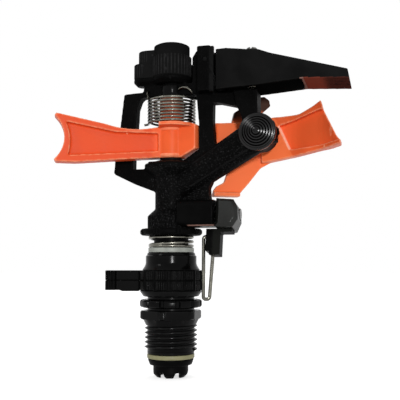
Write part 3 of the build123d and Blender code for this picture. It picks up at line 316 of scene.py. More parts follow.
def finish_tree(tree, last, output, source, target):
    """Ends a tree in smooth shading, real instances and the piece's material."""
    shade = tree.nodes.new("GeometryNodeSetShadeSmooth")
    realize = tree.nodes.new("GeometryNodeRealizeInstances")
    material = tree.nodes.new("GeometryNodeSetMaterial")
    wired(tree, (last, output, shade, "Geometry"), (shade, "Geometry", realize, "Geometry"),
          (realize, "Geometry", material, "Geometry"), (source, "Material", material, "Material"),
          (material, "Geometry", target, "Geometry"))
    return tree


def wire_tree():
    """Sweeps a round or angular section along a path whose points hold the share of its radius."""
    tree, source, target = new_tree("sprinkler_wire", [
        ("Path", "NodeSocketGeometry", None), ("Wire Radius", "NodeSocketFloat", 0.0005),
        ("Sides", "NodeSocketInt", 12), ("Material", "NodeSocketMaterial", None)])
    curve = tree.nodes.new("GeometryNodeMeshToCurve")
    upright = tree.nodes.new("GeometryNodeSetCurveNormal")
    upright.mode = "Z_UP"
    share = add_node(tree, "GeometryNodeInputNamedAttribute", Name="share")
    radius = tree.nodes.new("GeometryNodeSetCurveRadius")
    section = tree.nodes.new("GeometryNodeCurvePrimitiveCircle")
    sweep = add_node(tree, "GeometryNodeCurveToMesh", Fill_Caps=True)
    wired(tree, (source, "Path", curve, "Mesh"), (curve, "Curve", upright, "Curve"),
          (upright, "Curve", radius, "Curve"), (share, "Attribute", radius, "Radius"),
          (source, "Sides", section, "Resolution"), (source, "Wire Radius", section, "Radius"),
          (radius, "Curve", sweep, "Curve"), (section, "Curve", sweep, "Profile Curve"))
    return finish_tree(tree, sweep, "Mesh", source, target)


def rib_tree():
    """Upright half-round ribs at equal angles on a cylinder."""
    tree, source, target = new_tree("sprinkler_ribs", [
        ("Path", "NodeSocketGeometry", None), ("Count", "NodeSocketInt", 24),
        ("Ring Radius", "NodeSocketFloat", 0.007), ("Rib Radius", "NodeSocketFloat", 0.0004),
        ("Bottom", "NodeSocketFloat", 0.0), ("Height", "NodeSocketFloat", 0.005),
        ("Material", "NodeSocketMaterial", None)])
    circle = tree.nodes.new("GeometryNodeMeshCircle")
    rib = add_node(tree, "GeometryNodeMeshCylinder", Vertices=8)
    place = tree.nodes.new("GeometryNodeSetPosition")
    half = math_node(tree, "MULTIPLY_ADD", 0.5)
    offset = tree.nodes.new("ShaderNodeCombineXYZ")
    spread = tree.nodes.new("GeometryNodeInstanceOnPoints")
    wired(tree, (source, "Count", circle, "Vertices"), (source, "Ring Radius", circle, "Radius"),
          (source, "Rib Radius", rib, "Radius"), (source, "Height", rib, "Depth"), (source, "Height", half, 0),
          (source, "Bottom", half, 2), (half, "Value", offset, "Z"), (rib, "Mesh", place, "Geometry"),
          (offset, "Vector", place, "Offset"), (circle, "Mesh", spread, "Points"),
          (place, "Geometry", spread, "Instance"))
    return finish_tree(tree, spread, "Instances", source, target)


def grown(name, tree, mesh, values):
    """Plain piece from a mesh and a tree with the given input values."""
    piece = add_piece(name, mesh)
    modifier = piece.modifiers.new("Nodes", "NODES")
    modifier.node_group = tree
    named = {item.name: item.identifier for item in tree.interface.items_tree
             if item.item_type == "SOCKET" and item.in_out == "INPUT"}
    for label, value in values.items():
        modifier[named[label]] = value
    return applied(piece)


def path_mesh(points, shares=None):
    """Open line of edges through points, with the share of the section's radius at each."""
    mesh = bpy.data.meshes.new("path")
    mesh.from_pydata([tuple(point) for point in points], [(i, i + 1) for i in range(len(points) - 1)], [])
    attribute = mesh.attributes.new("share", "FLOAT", "POINT")
    attribute.data.foreach_set("value", shares or [1.0] * len(points))
    return mesh


def wire(name, points, radius, sides, material, shares=None):
    """Round wire, or a ridge with few sides, along points."""
    return grown(name, TREES["wire"], path_mesh(points, shares),
                 {"Wire Radius": radius, "Sides": sides, "Material": MATERIALS[material]})


def steady(bottom, top):
    """Even rise from bottom to top with the share of a helix's length."""
    return lambda share: bottom + (top - bottom) * share


def helix(radius, heights, turns, start=0.0, per_turn=48):
    """Points of a helix whose height follows heights(share of its length)."""
    count = int(turns * per_turn)
    shares = [step / count for step in range(count + 1)]
    return [Vector(turned(radius, start + 2 * math.pi * turns * share, heights(share))) for share in shares]


def eased(points, corner, steps=5):
    """Points of a line with its inner corners rounded to the given radius."""
    rounded = [Vector(points[0])]
    for before, here, after in zip(points, points[1:], points[2:]):
        before, here, after = Vector(before), Vector(here), Vector(after)
        enter = here + (before - here).normalized() * min(corner, (before - here).length * 0.49)
        leave = here + (after - here).normalized() * min(corner, (after - here).length * 0.49)
        for step in range(steps + 1):
            t = step / steps
            rounded.append(enter * (1 - t) ** 2 + here * 2 * t * (1 - t) + leave * t ** 2)
    return rounded + [Vector(points[-1])]


# Shader node groups

def new_group(name, inputs, outputs):
    """Shader group with named (name, default) inputs and (name, socket type) outputs."""
    group = bpy.data.node_groups.new(name, "ShaderNodeTree")
    for label, default in inputs:
        socket = group.interface.new_socket(label, in_out="INPUT", socket_type="NodeSocketFloat")
        socket.default_value = default
    for label, kind in outputs:
        group.interface.new_socket(label, in_out="OUTPUT", socket_type=kind)
    return group, group.nodes.new("NodeGroupInput"), group.nodes.new("NodeGroupOutput")


def grain_group():
    """Grain of a moulded surface: its height, its bright specks and slow mottling."""
    group, source, target = new_group(
        "moulded_grain", [("Fine Scale", 1800.0), ("Slow Scale", 90.0)],
        [("Height", "NodeSocketFloat"), ("Specks", "NodeSocketFloat"), ("Mottling", "NodeSocketFloat")])
    place = group.nodes.new("ShaderNodeTexCoord")
    fine = add_node(group, "ShaderNodeTexNoise", Detail=3.0)
    slow = add_node(group, "ShaderNodeTexNoise", Detail=4.0)
    specks = map_range(group, 0.56, 0.72)
    mottling = map_range(group, 0.35, 0.65)
    for noise, scale in ((fine, "Fine Scale"), (slow, "Slow Scale")):
        wired(group, (place, "Object", noise, "Vector"), (source, scale, noise, "Scale"))
    wired(group, (fine, "Fac", specks, "Value"), (slow, "Fac", mottling, "Value"), (fine, "Fac", target, "Height"),
          (specks, "Result", target, "Specks"), (mottling, "Result", target, "Mottling"))
    return group


def edge_group():
    """Mask of convex edges, broken up by noise, that lightens them as edge wear and painted highlight."""
    group, source, target = new_group("edge_wear_and_highlight", [("Start", 0.52), ("Full", 0.60), ("Break Scale", 500.0)],
                                      [("Mask", "NodeSocketFloat")])
    shape = group.nodes.new("ShaderNodeNewGeometry")
    edge = map_range(group, 0.5, 0.6)
    place = group.nodes.new("ShaderNodeTexCoord")
    noise = group.nodes.new("ShaderNodeTexNoise")
    broken = map_range(group, 0.3, 0.6, 0.35, 1.0)
    mask = math_node(group, "MULTIPLY")
    wired(group, (shape, "Pointiness", edge, "Value"), (source, "Start", edge, "From Min"),
          (source, "Full", edge, "From Max"), (place, "Object", noise, "Vector"),
          (source, "Break Scale", noise, "Scale"), (noise, "Fac", broken, "Value"), (edge, "Result", mask, 0),
          (broken, "Result", mask, 1), (mask, "Value", target, "Mask"))
    return group


class Finish:
    """A material under construction: its nodes, its Principled shader and the placed groups."""

    def __init__(self, name):
        self.material = bpy.data.materials.new(name)
        self.material.use_nodes = True
        self.tree = self.material.node_tree
        self.link = self.tree.links.new
        self.shader = self.tree.nodes["Principled BSDF"]

    def set(self, **values):
        """Uniform values on the shader's own sockets."""
        set_inputs(self.shader, values)
        return self

    def group(self, tree, **values):
        """A placed node group with its own values."""
        node = self.tree.nodes.new("ShaderNodeGroup")
        node.node_tree = tree
        return set_inputs(node, values)

    def mix(self, factor, low, high, amount=1.0):
        """Colour between low and high by a mask; low may be a colour or a socket."""
        node = self.tree.nodes.new("ShaderNodeMix")
        node.data_type = "RGBA"
        scaled = math_node(self.tree, "MULTIPLY", amount)
        self.link(factor, scaled.inputs[0])
        self.link(scaled.outputs["Value"], node.inputs["Factor"])
        if isinstance(low, bpy.types.NodeSocket):
            self.link(low, node.inputs["A"])
        else:
            node.inputs["A"].default_value = (*low, 1.0)
        node.inputs["B"].default_value = (*high, 1.0)
        return node.outputs["Result"]

    def attribute(self, name):
        """Value that a piece stores at its points, 0 where it stores none."""
        node = self.tree.nodes.new("ShaderNodeAttribute")
        node.attribute_name = name
        return node.outputs["Fac"]

    def product(self, first, second):
        """Two masks multiplied."""
        node = math_node(self.tree, "MULTIPLY")
        self.link(first, node.inputs[0])
        self.link(second, node.inputs[1])
        return node.outputs["Value"]

    def done(self, base, grains, rough, depth):
        """The material with its colour, and with roughness and bump from the grain."""
        shine = map_range(self.tree, 0.0, 1.0, *rough)
        bump = add_node(self.tree, "ShaderNodeBump", Strength=1.0, Distance=depth)
        self.link(base, self.shader.inputs["Base Color"])
        wired(self.tree, (grains, "Mottling", shine, "Value"), (shine, "Result", self.shader, "Roughness"),
              (grains, "Height", bump, "Height"), (bump, "Normal", self.shader, "Normal"))
        return self.material


def lighter(colour, factor, add=0.0):
    """Colour scaled and raised."""
    return tuple(min(1.0, channel * factor + add) for channel in colour)


def black_plastic(name, colour, groups, colours, rough, grain, specular, fine_scale=1900.0):
    """Moulded black plastic with grain, mottling and lighter edges (scuffs and painted highlights), and marked
    specks and tints.
    """
    finish = Finish(name)
    grains = finish.group(groups["grain"], Fine_Scale=fine_scale)
    edges = finish.group(groups["edges"])
    specks = finish.product(grains.outputs["Specks"], finish.attribute("speckled"))
    base = finish.mix(grains.outputs["Mottling"], colour, lighter(colour, 1.5, 0.0006))
    base = finish.mix(specks, base, SPECK)
    base = finish.mix(edges.outputs["Mask"], base, lighter(colour, 3.0, 0.006), 0.7)
    # Lighter front, painted reflection and painted highlight, where a piece marks them.
    for mask, tint in (("brightened", colours.worn), ("tip_reflection", colours.tip_reflection), ("glint", colours.glint)):
        base = finish.mix(finish.attribute(mask), base, tint)
    finish.set(Specular_IOR_Level=specular)
    return finish.done(base, grains, rough, grain)


def orange_plastic(name, colours, groups):
    """Glossy orange moulding: lighter along its rims (edge wear and painted highlights), with painted light,
    painted shade and a painted highlight where marked.
    """
    finish = Finish(name)
    grains = finish.group(groups["grain"], Fine_Scale=900.0, Slow_Scale=45.0)
    edges = finish.group(groups["edges"], Start=0.508, Full=0.545)
    base = finish.mix(grains.outputs["Mottling"], lighter(colours.arm, 0.95), lighter(colours.arm, 1.05))
    # Painted light where marked, then lighter edges, a painted highlight and painted shade.
    base = finish.mix(finish.attribute("painted_light"), base, colours.arm_painted_light)
    base = finish.mix(edges.outputs["Mask"], base, colours.arm_edge_highlight, 0.85)
    base = finish.mix(finish.attribute("rim"), base, lighter(colours.arm_edge_highlight, 1.0, 0.25))
    base = finish.mix(finish.attribute("sleeve_shade"), base, colours.arm_painted_shade)
    base = finish.mix(finish.attribute("dark"), base, lighter(colours.arm_painted_shade, 0.3))
    finish.set(Specular_IOR_Level=0.08)
    return finish.done(base, grains, (0.32, 0.44), 0.00003)


def steel(name, colour, groups):
    """Drawn stainless steel, with painted shade on the springs' turns and a darker screw head where marked."""
    finish = Finish(name)
    grains = finish.group(groups["grain"], Fine_Scale=2500.0, Slow_Scale=300.0)
    base = finish.mix(grains.outputs["Mottling"], lighter(colour, 0.8), lighter(colour, 1.2))
    base = finish.mix(finish.attribute("shade"), base, lighter(colour, 0.1))
    finish.set(Metallic=1.0)
    return finish.done(base, grains, (0.18, 0.3), 0.00001)


def plain_plastic(name, colour, groups, rough, specular=0.2):
    """Pale washer plastic or rubber, faintly soiled."""
    finish = Finish(name)
    grains = finish.group(groups["grain"], Fine_Scale=1500.0, Slow_Scale=220.0)
    base = finish.mix(grains.outputs["Mottling"], lighter(colour, 0.8), lighter(colour, 1.08))
    finish.set(Specular_IOR_Level=specular)
    return finish.done(base, grains, rough, 0.00002)


SPECK = (0.030, 0.030, 0.031)


def make_materials(colours):
    """All the sprinkler's finishes by name."""
    groups = {"grain": grain_group(), "edges": edge_group()}
    black = colours.moulding
    MATERIALS.update(
        black=black_plastic("black_moulding", black, groups, colours, (0.42, 0.6), 0.00005, 0.015),
        smooth_black=black_plastic("smooth_black_moulding", black, groups, colours, (0.34, 0.46), 0.00002, 0.02),
        gloss=black_plastic("gloss_black_moulding", colours.gloss, groups, colours, (0.15, 0.22), 0.00001, 0.055),
        worn_black=black_plastic("worn_black_moulding", colours.worn, groups, colours, (0.26, 0.4), 0.00004, 0.2),
        flat_black=black_plastic("flat_black_moulding", lighter(black, 5.0), groups, colours, (0.4, 0.55), 0.00004,
                                 0.0),
        plug=black_plastic("plug_black_moulding", black, groups, colours, (0.16, 0.24), 0.00001, 0.22),
        orange=orange_plastic("orange_moulding", colours, groups),
        steel=steel("stainless_steel", colours.steel, groups),
        dark_steel=steel("dark_steel", lighter(colours.steel, 0.2), groups),
        pale=plain_plastic("pale_washer", colours.pale_washer, groups, (0.35, 0.5)),
        beige=plain_plastic("beige_washer", colours.beige_washer, groups, (0.4, 0.55)),
        rubber=plain_plastic("seal_rubber", colours.rubber, groups, (0.5, 0.7), 0.1))


def coat(mesh, material):
    """Gives a mesh one finish."""
    if not mesh.materials:
        mesh.materials.append(MATERIALS[material])
    for index in range(len(mesh.materials)):
        mesh.materials[index] = MATERIALS[material]


def dress(piece, material, slot, body=None, *nodes):
    """Gives a piece its material and the body it rides on, and hides the nodes it stands for. The slot is not
    used.
    """
    coat(piece.data, material)
    if body:
        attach(piece, body)
    if nodes:
        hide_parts(*nodes)
    return piece


class Step:
    """Runs an operator's build with the scene's sizes."""

    def execute(self, context):
        self.build(context.scene.sprinkler_sizes)
        return {"FINISHED"}


# Stage

CAMERA_TURN = math.radians(15.0)
CAMERA_PITCH = math.radians(5.06)
CAMERA_DISTANCE = 0.2805
CAMERA_SIDE = 0.0115
CAMERA_HEIGHT = 0.0223
CAMERA_LENS = 63.0
SENSOR = 36.0
CAMERA_CLIP = 0.01
FLOOR_RADIUS = 2.5
FLOOR_CORNERS = 96
FLOOR_GLOW = 0.62
WORLD_LEVEL = 0.45
LAMPS = {"key_lamp": (22, 4, 1.95, 6), "left_lamp": (-42, 34, 0.45, 10), "back_lamp": (180, 62, 0.5, 30)}


def add_camera():
    """Camera at the photograph's angle, looking slightly up."""
    data = bpy.data.cameras.new("studio_camera")
    data.sensor_width = SENSOR
    data.lens = CAMERA_LENS
    data.clip_start = CAMERA_CLIP
    camera = bpy.data.objects.new("studio_camera", data)
    right = Vector((math.cos(CAMERA_TURN), math.sin(CAMERA_TURN), 0))
    level = Vector((-math.sin(CAMERA_TURN), math.cos(CAMERA_TURN), 0))
    forward = level * math.cos(CAMERA_PITCH) + Vector((0, 0, math.sin(CAMERA_PITCH)))
    camera.location = right * CAMERA_SIDE - level * CAMERA_DISTANCE + Vector((0, 0, CAMERA_HEIGHT))
    camera.rotation_mode = "QUATERNION"
    camera.rotation_quaternion = forward.to_track_quat("-Z", "Y")
    bpy.context.scene.collection.objects.link(camera)
    bpy.context.scene.camera = camera


def add_sun(name, azimuth, elevation, strength, angle):
    """Soft sun from an azimuth, measured as the camera's, and an elevation in degrees."""
    data = bpy.data.lights.new(name, "SUN")
    data.energy = strength
    data.angle = math.radians(angle)
    lamp = bpy.data.objects.new(name, data)
    turn, rise = math.radians(azimuth), math.radians(elevation)
    toward = Vector((math.sin(turn) * math.cos(rise), -math.cos(turn) * math.cos(rise), math.sin(rise)))
    lamp.rotation_mode = "QUATERNION"
    lamp.rotation_quaternion = toward.to_track_quat("Z", "Y")
    lamp.location = toward
    bpy.context.scene.collection.objects.link(lamp)


def seen_mask(tree):
    """Node that puts out 1 for camera, glossy and transmission rays, which see the white background."""
    path = tree.nodes.new("ShaderNodeLightPath")
    first = math_node(tree, "ADD")
    both = math_node(tree, "ADD")
    both.use_clamp = True
    wired(tree, (path, "Is Camera Ray", first, 0), (path, "Is Glossy Ray", first, 1), (first, "Value", both, 0),
          (path, "Is Transmission Ray", both, 1))
    return both


def add_world(level):
    """White to the eye and in reflections, and an even grey light on everything else."""
    world = bpy.data.worlds.new("studio_world")
    bpy.context.scene.world = world
    world.use_nodes = True
    tree = world.node_tree
    background = set_inputs(tree.nodes["Background"], {"Color": (1, 1, 1, 1)})
    strength = map_range(tree, 0.0, 1.0, level, 1.0)
    wired(tree, (seen_mask(tree), "Value", strength, "Value"), (strength, "Result", background, "Strength"))


def add_floor(colour, level):
    """Pale floor that shows as white but keeps the sprinkler's shadow."""
    points = [turned(FLOOR_RADIUS, 2 * math.pi * step / FLOOR_CORNERS, level) for step in range(FLOOR_CORNERS)]
    mesh = bpy.data.meshes.new("studio_floor")
    mesh.from_pydata(points, [], [list(range(FLOOR_CORNERS))])
    floor = add_piece("studio_floor", mesh, smooth=False)
    finish = Finish("studio_floor").set(Base_Color=(*colour, 1), Roughness=0.9, Specular_IOR_Level=0.0,
                                        Emission_Color=(1, 1, 1, 1))
    glow = map_range(finish.tree, 0.0, 1.0, 0.0, FLOOR_GLOW)
    wired(finish.tree, (seen_mask(finish.tree), "Value", glow, "Value"),
          (glow, "Result", finish.shader, "Emission Strength"))
    mesh.materials.append(finish.material)


class SPRINKLER_OT_stage(Operator):
    """Adds the camera, the lamps, the white background and the pale floor"""
    bl_idname = "sprinkler.stage"
    bl_label = "Stage"

    def execute(self, context):
        context.scene.view_settings.view_transform = "Standard"
        add_camera()
        add_world(WORLD_LEVEL)
        for name, values in LAMPS.items():
            add_sun(name, *values)
        lowest = min(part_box(node)[0].z for node in frame["nodes"])
        add_floor(context.scene.sprinkler_colours.floor, lowest)
        return {"FINISHED"}


# Pieces

HEX_HEIGHT = 3.34 * MM
HEX_FLATS = 22.0 * MM
HEX_CORNER = 12.3 * MM
HEX_CHAMFER = 0.5 * MM
NECK_R = 9.3 * MM
RIM_R = 12.3 * MM
RIM_LOW = 4.5 * MM
RIM_HIGH = 7.65 * MM
RIM_NOTCHES = 12
RIM_NOTCH = 0.9 * MM
RIM_BULGE = 1.2 * MM
NOTCH_START = 0.55
NOTCH_STEEPNESS = 4.0
SEAT_LOW = 8.85 * MM
SEAT_HIGH = 11.2 * MM
SEAT_LOW_R = 11.0 * MM
COLLAR_SEAT_R = 9.2 * MM
SHOULDER_Z = 19.05 * MM
SHOULDER_R = 11.4 * MM
BARREL_Z = 21.85 * MM
BARREL_R = 10.1 * MM
CROWN_Z = 24.65 * MM
CROWN_R = 9.45 * MM
PILOT_R = 9.3 * MM
PILOT_Z = -12.3 * MM
THREAD_DEPTH = 1.162 * MM
CORE_R = THREAD_CREST - THREAD_DEPTH
RUNOUT_Z = -2.3 * MM
RUNOUT_R = 10.0 * MM
BORE_R = 6.95 * MM
EDGE = 0.25 * MM


def hex_radius(limit):
    """Radius of the hex at an angle, kept inside a circle."""
    def radius(angle):
        off = (angle + math.pi / 6) % (math.pi / 3) - math.pi / 6
        return min(limit, HEX_FLATS / 2 / math.cos(off))
    return radius


def notched_radius(limit, depth):
    """Radius of the grip rim at an angle, with rounded notches."""
    def radius(angle):
        wave = math.cos(RIM_NOTCHES * angle)
        return limit - depth * clamped((wave - NOTCH_START) * NOTCH_STEEPNESS)
    return radius


def nipple_rows(bottom, top):
    """(height, radius or radius by angle) of the nipple's outside, from its foot to its crown."""
    rows = [(bottom, PILOT_R - EDGE), (bottom + EDGE, PILOT_R), (PILOT_Z - 0.1 * MM, PILOT_R),
            (PILOT_Z, CORE_R - 0.1 * MM), (PILOT_Z + EDGE, CORE_R), (RUNOUT_Z, CORE_R),
            (RUNOUT_Z, RUNOUT_R), (-0.2 * MM, SEAT_LOW_R), (0.0, hex_radius(HEX_CORNER - HEX_CHAMFER)),
            (HEX_CHAMFER, hex_radius(HEX_CORNER)), (HEX_HEIGHT - HEX_CHAMFER, hex_radius(HEX_CORNER)),
            (HEX_HEIGHT, hex_radius(HEX_CORNER - HEX_CHAMFER)), (HEX_HEIGHT + 0.05 * MM, NECK_R + EDGE),
            (HEX_HEIGHT + EDGE, NECK_R), (RIM_LOW - EDGE, NECK_R), (RIM_LOW, NECK_R + EDGE)]
    middle = (RIM_LOW + RIM_HIGH) / 2
    half = (RIM_HIGH - RIM_LOW) / 2
    for step in range(-6, 7):
        share = step / 6
        drop = (1 - math.sqrt(max(0.0, 1 - abs(share) ** 4))) * RIM_BULGE
        rows.append((middle + half * share, notched_radius(RIM_R - drop, RIM_NOTCH)))
    rows += [(RIM_HIGH, NECK_R + EDGE), (RIM_HIGH + EDGE, NECK_R), (SEAT_LOW - EDGE, NECK_R),
             (SEAT_LOW, SEAT_LOW_R), (SEAT_HIGH - 2 * EDGE, RIM_R), (SEAT_HIGH - EDGE, RIM_R),
             (SEAT_HIGH, RIM_R - EDGE), (SEAT_HIGH, COLLAR_SEAT_R), (SHOULDER_Z, COLLAR_SEAT_R),
             (SHOULDER_Z, SHOULDER_R - EDGE), (SHOULDER_Z + EDGE, SHOULDER_R)]
    for step in range(1, 9):
        share = step / 8
        radius = SHOULDER_R + (BARREL_R - SHOULDER_R) * math.sin(share * math.pi / 2)
        rows.append((SHOULDER_Z + EDGE + (BARREL_Z - SHOULDER_Z) * share, radius))
    rows += [(CROWN_Z, BARREL_R), (CROWN_Z + EDGE, BARREL_R - 0.4 * MM),
             (top - EDGE, CROWN_R), (top, CROWN_R - EDGE)]
    return rows


def polar_shell(name, rows, inner, count=288, smooth_angle=38):
    """Closed ring whose outside follows rows of (height, radius or radius by angle), bored to inner."""
    angles = [2 * math.pi * step / count for step in range(count)]
    rows = [*rows, (rows[-1][0], inner), (rows[0][0], inner)]
    points = [turned(radius(angle) if callable(radius) else radius, angle, height)
              for height, radius in rows for angle in angles]
    faces = []
    for level in range(len(rows)):
        here, above = level * count, (level + 1) % len(rows) * count
        for step in range(count):
            after = (step + 1) % count
            faces.append([here + step, here + after, above + after, above + step])
    mesh = mesh_from(points, faces)
    piece = add_piece(name, mesh)
    mesh.set_sharp_from_angle(angle=math.radians(smooth_angle))
    return piece


THREAD_FOOT = 0.5 * MM
THREAD_END = 0.1 * MM
THREAD_FADE = 40
THREAD_THIN = 0.35


class SPRINKLER_OT_nipple(Step, Operator):
    """Builds the inlet nipple with its hex, grip rim, collar seat and pipe thread"""
    bl_idname = "sprinkler.nipple"
    bl_label = "Inlet nipple"

    def build(self, sizes):
        low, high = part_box("inlet_nipple")
        nipple = polar_shell("nipple", nipple_rows(low.z, high.z), BORE_R)
        dress(nipple, "gloss", "black_gloss", "base", "inlet_nipple")
        bottom = PILOT_Z + THREAD_FOOT
        top = RUNOUT_Z - THREAD_END
        turns = (top - bottom) / sizes.thread_pitch
        points = helix(THREAD_CREST - sizes.thread_ridge, steady(bottom, top), turns, per_turn=96)
        last = len(points) - 1
        shares = [min(1.0, THREAD_THIN + min(index, last - index) / THREAD_FADE) for index in range(last + 1)]
        thread = wire("nipple_thread", points, sizes.thread_ridge, 3, "gloss", shares)
        dress(thread, "gloss", "black_gloss", "base")


WASHER_EDGE = 0.3 * MM
WASHER_GAP = 0.05 * MM


class SPRINKLER_OT_washers(Step, Operator):
    """Builds the pale upper washer and the beige wear washer"""
    bl_idname = "sprinkler.washers"
    bl_label = "Washers"

    def build(self, sizes):
        for name, node, material, slot, body in (
                ("washer_upper", "upper_washer", "pale", "white_plastic", "base"),
                ("washer_lower", "wear_washer", "beige", "beige_plastic", "head")):
            low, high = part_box(node)
            washer = lathe(name, rounded_ring(BORE_R + WASHER_GAP, high.x, low.z, high.z, WASHER_EDGE))
            dress(washer, material, slot, body, node)


def ribs(name, count, ring_r, rib_r, bottom, height, material, centre=Vector()):
    """Upright ribs at equal angles round a centre."""
    piece = grown(name, TREES["ribs"], path_mesh([Vector(), Vector((0, 0, MM))]),
                  {"Count": count, "Ring Radius": ring_r, "Rib Radius": rib_r, "Bottom": bottom, "Height": height,
                   "Material": MATERIALS[material]})
    piece.data.transform(Matrix.Translation(centre))
    return piece


COLLAR_R = 12.1 * MM
COLLAR_RIB_R = 0.26 * MM
COLLAR_RIB_END = 0.4 * MM
COLLAR_HEIGHT = 3.85 * MM


class SPRINKLER_OT_collars(Step, Operator):
    """Rounds the two arc-stop collars with their finger tabs and ribs them"""
    bl_idname = "sprinkler.collars"
    bl_label = "Arc-stop collars"

    def build(self, sizes):
        for level in ("lower", "upper"):
            collar = moulded("collar_" + level, level + "_collar", sizes.fine_voxel, rounding=3, keep=0.6)
            dress(collar, "smooth_black", "black_gloss", level + "_stop", level + "_collar")
            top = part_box(level + "_collar")[1].z
            bottom = top - COLLAR_HEIGHT + COLLAR_RIB_END
            knurl = ribs("collar_ribs_" + level, sizes.collar_ribs, COLLAR_R, COLLAR_RIB_R, bottom,
                         top - COLLAR_RIB_END - bottom, "gloss")
            dress(knurl, "gloss", "black_gloss", level + "_stop")


TUBE_ANGLE = math.radians(31.6)
TUBE_START_Z = 50.1 * MM
TUBE_R = 5.55 * MM
TUBE_WIDENING = 1.0 / 42.7
TUBE_SPECKLED_R = 7.2 * MM
TUBE_SPECKS = 0.65
STRUT_SPECKS = 0.1
RISER_TOP_Z = 60.5 * MM
RISER_SIDE_X = 7.0 * MM
BEAM_LOW_Z = 89.2 * MM
BEAM_PILLAR_R = 4.4 * MM
BOSS_LOW_Z = 94.6 * MM
PILLAR_BORE_R = 2.0 * MM
PILLAR_EDGE = 0.5 * MM
TUBE_SEAM_R = 0.4 * MM
TUBE_SEAMS = (0.75, -0.62)
SEAM_SPOTS = (9, 20, 30, 36)
POST_RIBS = {"post_rib": ((6.4, 5.2), (13.0, 6.8), (89.0, 103.6)),
             "post_tongue": ((16.5, 1.5), (23.5, 3.5), (85.5, 93.0)),
             "post_cheek_near": ((17.5, -7.3), (19.2, -5.6), (88.9, 106.9)),
             "post_cheek_far": ((17.5, 5.6), (19.2, 7.3), (88.9, 106.9))}


def tube_spot(distance, around):
    """Point on the slanting tube's surface at a distance along it and an angle round it."""
    along = Vector((math.cos(TUBE_ANGLE), 0, math.sin(TUBE_ANGLE)))
    up = Vector((-math.sin(TUBE_ANGLE), 0, math.cos(TUBE_ANGLE)))
    radius = TUBE_R + TUBE_WIDENING * distance
    centre = Vector((0, 0, TUBE_START_Z)) + along * distance
    return centre + (up * math.sin(around) - Vector((0, 1, 0)) * math.cos(around)) * radius


def speckled(position, normal):
    """Full on the riser and the hub, less on the tube, and slight on the struts."""
    off_axis = Vector((0, position.y, (position.z - TUBE_START_Z) * math.cos(TUBE_ANGLE)
                       - position.x * math.sin(TUBE_ANGLE))).length
    if position.x > 0 and off_axis < TUBE_SPECKLED_R:
        return TUBE_SPECKS
    return 1.0 if position.z < RISER_TOP_Z and position.x > -RISER_SIDE_X else STRUT_SPECKS


class SPRINKLER_OT_head(Step, Operator):
    """Rounds the head, its dust ring and the spindle, and adds the pillar, the post's ribs and the seams"""
    bl_idname = "sprinkler.head"
    bl_label = "Head"

    def build(self, sizes):
        body = moulded("head_moulding", "sprinkler_body", sizes.coarse_voxel, rounding=2, keep=0.5)
        mark(dress(body, "black", "black_plastic", "head", "sprinkler_body"), "speckled", speckled)
        ring = moulded("head_dust_ring", "dust_ring", sizes.fine_voxel, rounding=3, keep=0.5)
        dress(ring, "black", "black_plastic", "head", "dust_ring")
        spindle = moulded("swivel_spindle", "spindle", sizes.coarse_voxel, rounding=2, keep=0.5)
        dress(spindle, "smooth_black", "black_gloss", "head", "spindle")
        section = rounded_ring(PILLAR_BORE_R, BEAM_PILLAR_R, BEAM_LOW_Z, BOSS_LOW_Z, PILLAR_EDGE)
        dress(lathe("beam_pillar", section), "gloss", "black_gloss", "head")
        for name, ((left, near), (right, far), (bottom, top)) in POST_RIBS.items():
            plan = [(x * MM, y * MM) for x, y in ((left, near), (right, near), (right, far), (left, far))]
            rib = prism(name, plan, bottom * MM, top * MM, smooth=False)
            dress(rib, "black", "black_plastic", "head")
        for index, around in enumerate(TUBE_SEAMS, 1):
            line = [tube_spot(distance * MM, around) for distance in SEAM_SPOTS]
            seam = wire("tube_seam_%d" % index, line, TUBE_SEAM_R, 8, "black")
            dress(seam, "black", "black_plastic", "head")


COIL_START = math.radians(200)
CLOSED_SHARE = 0.3
CLOSED_RISE = 0.12


class SPRINKLER_OT_bearing_spring(Step, Operator):
    """Winds the compression spring under the hub"""
    bl_idname = "sprinkler.bearing_spring"
    bl_label = "Bearing spring"

    def build(self, sizes):
        low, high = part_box("bearing_spring")
        wire_r = sizes.bearing_wire
        bottom, top = low.z + wire_r, high.z - wire_r

        def heights(share):
            inside = clamped((share - CLOSED_SHARE) / (1 - 2 * CLOSED_SHARE))
            return bottom + (top - bottom) * (CLOSED_RISE * share + (1 - CLOSED_RISE) * inside)
        points = helix(high.x - wire_r, heights, sizes.bearing_turns, start=COIL_START)
        spring = wire("bearing_coil", points, wire_r, sizes.wire_sides, "steel")
        dress(shade_turns(spring), "steel", "stainless_steel", "head", "bearing_spring")


SLEEVE_SIDE_R = 5.6 * MM
SLEEVE_LOW_Z = 78.2 * MM
SLEEVE_HIGH_Z = 87.0 * MM
FINGER_LOW_Z = 82.5 * MM
FINGER_X = 20.5 * MM
ROOT_LOW_Z = 79.0 * MM
ROOT_X = 29.0 * MM
BAR_X = 10.5 * MM
POCKET_EDGE = (Vector((41.7, 77.6)) * MM, Vector((46.1, 67.8)) * MM)
POCKET_HIGHLIGHT_BAND = (0.12 * MM, 0.45 * MM)
POCKET_PAINTED_LIGHT = 0.45
HUB_PAINTED_LIGHT = 0.4
SLEEVE_SHADE_START = 0.1
SLEEVE_SHADE_RISE = 0.85
FINGER_SHADE = 0.85
FINGER_FADE = 2.0 * MM
HUB_R = 5.6 * MM
HUB_BANDS = (64.7 * MM, 75.5 * MM)
BAND_DEPTH = 0.4 * MM
BAND_HALF = 0.7 * MM
BAND_SIDES = 10
SEAT_CUT_R = 11.6 * MM
SEAT_CUT_TURN = math.radians(198)
SEAT_CUT_HALF = math.radians(63)
SEAT_LOWEST_Z = 75.98 * MM


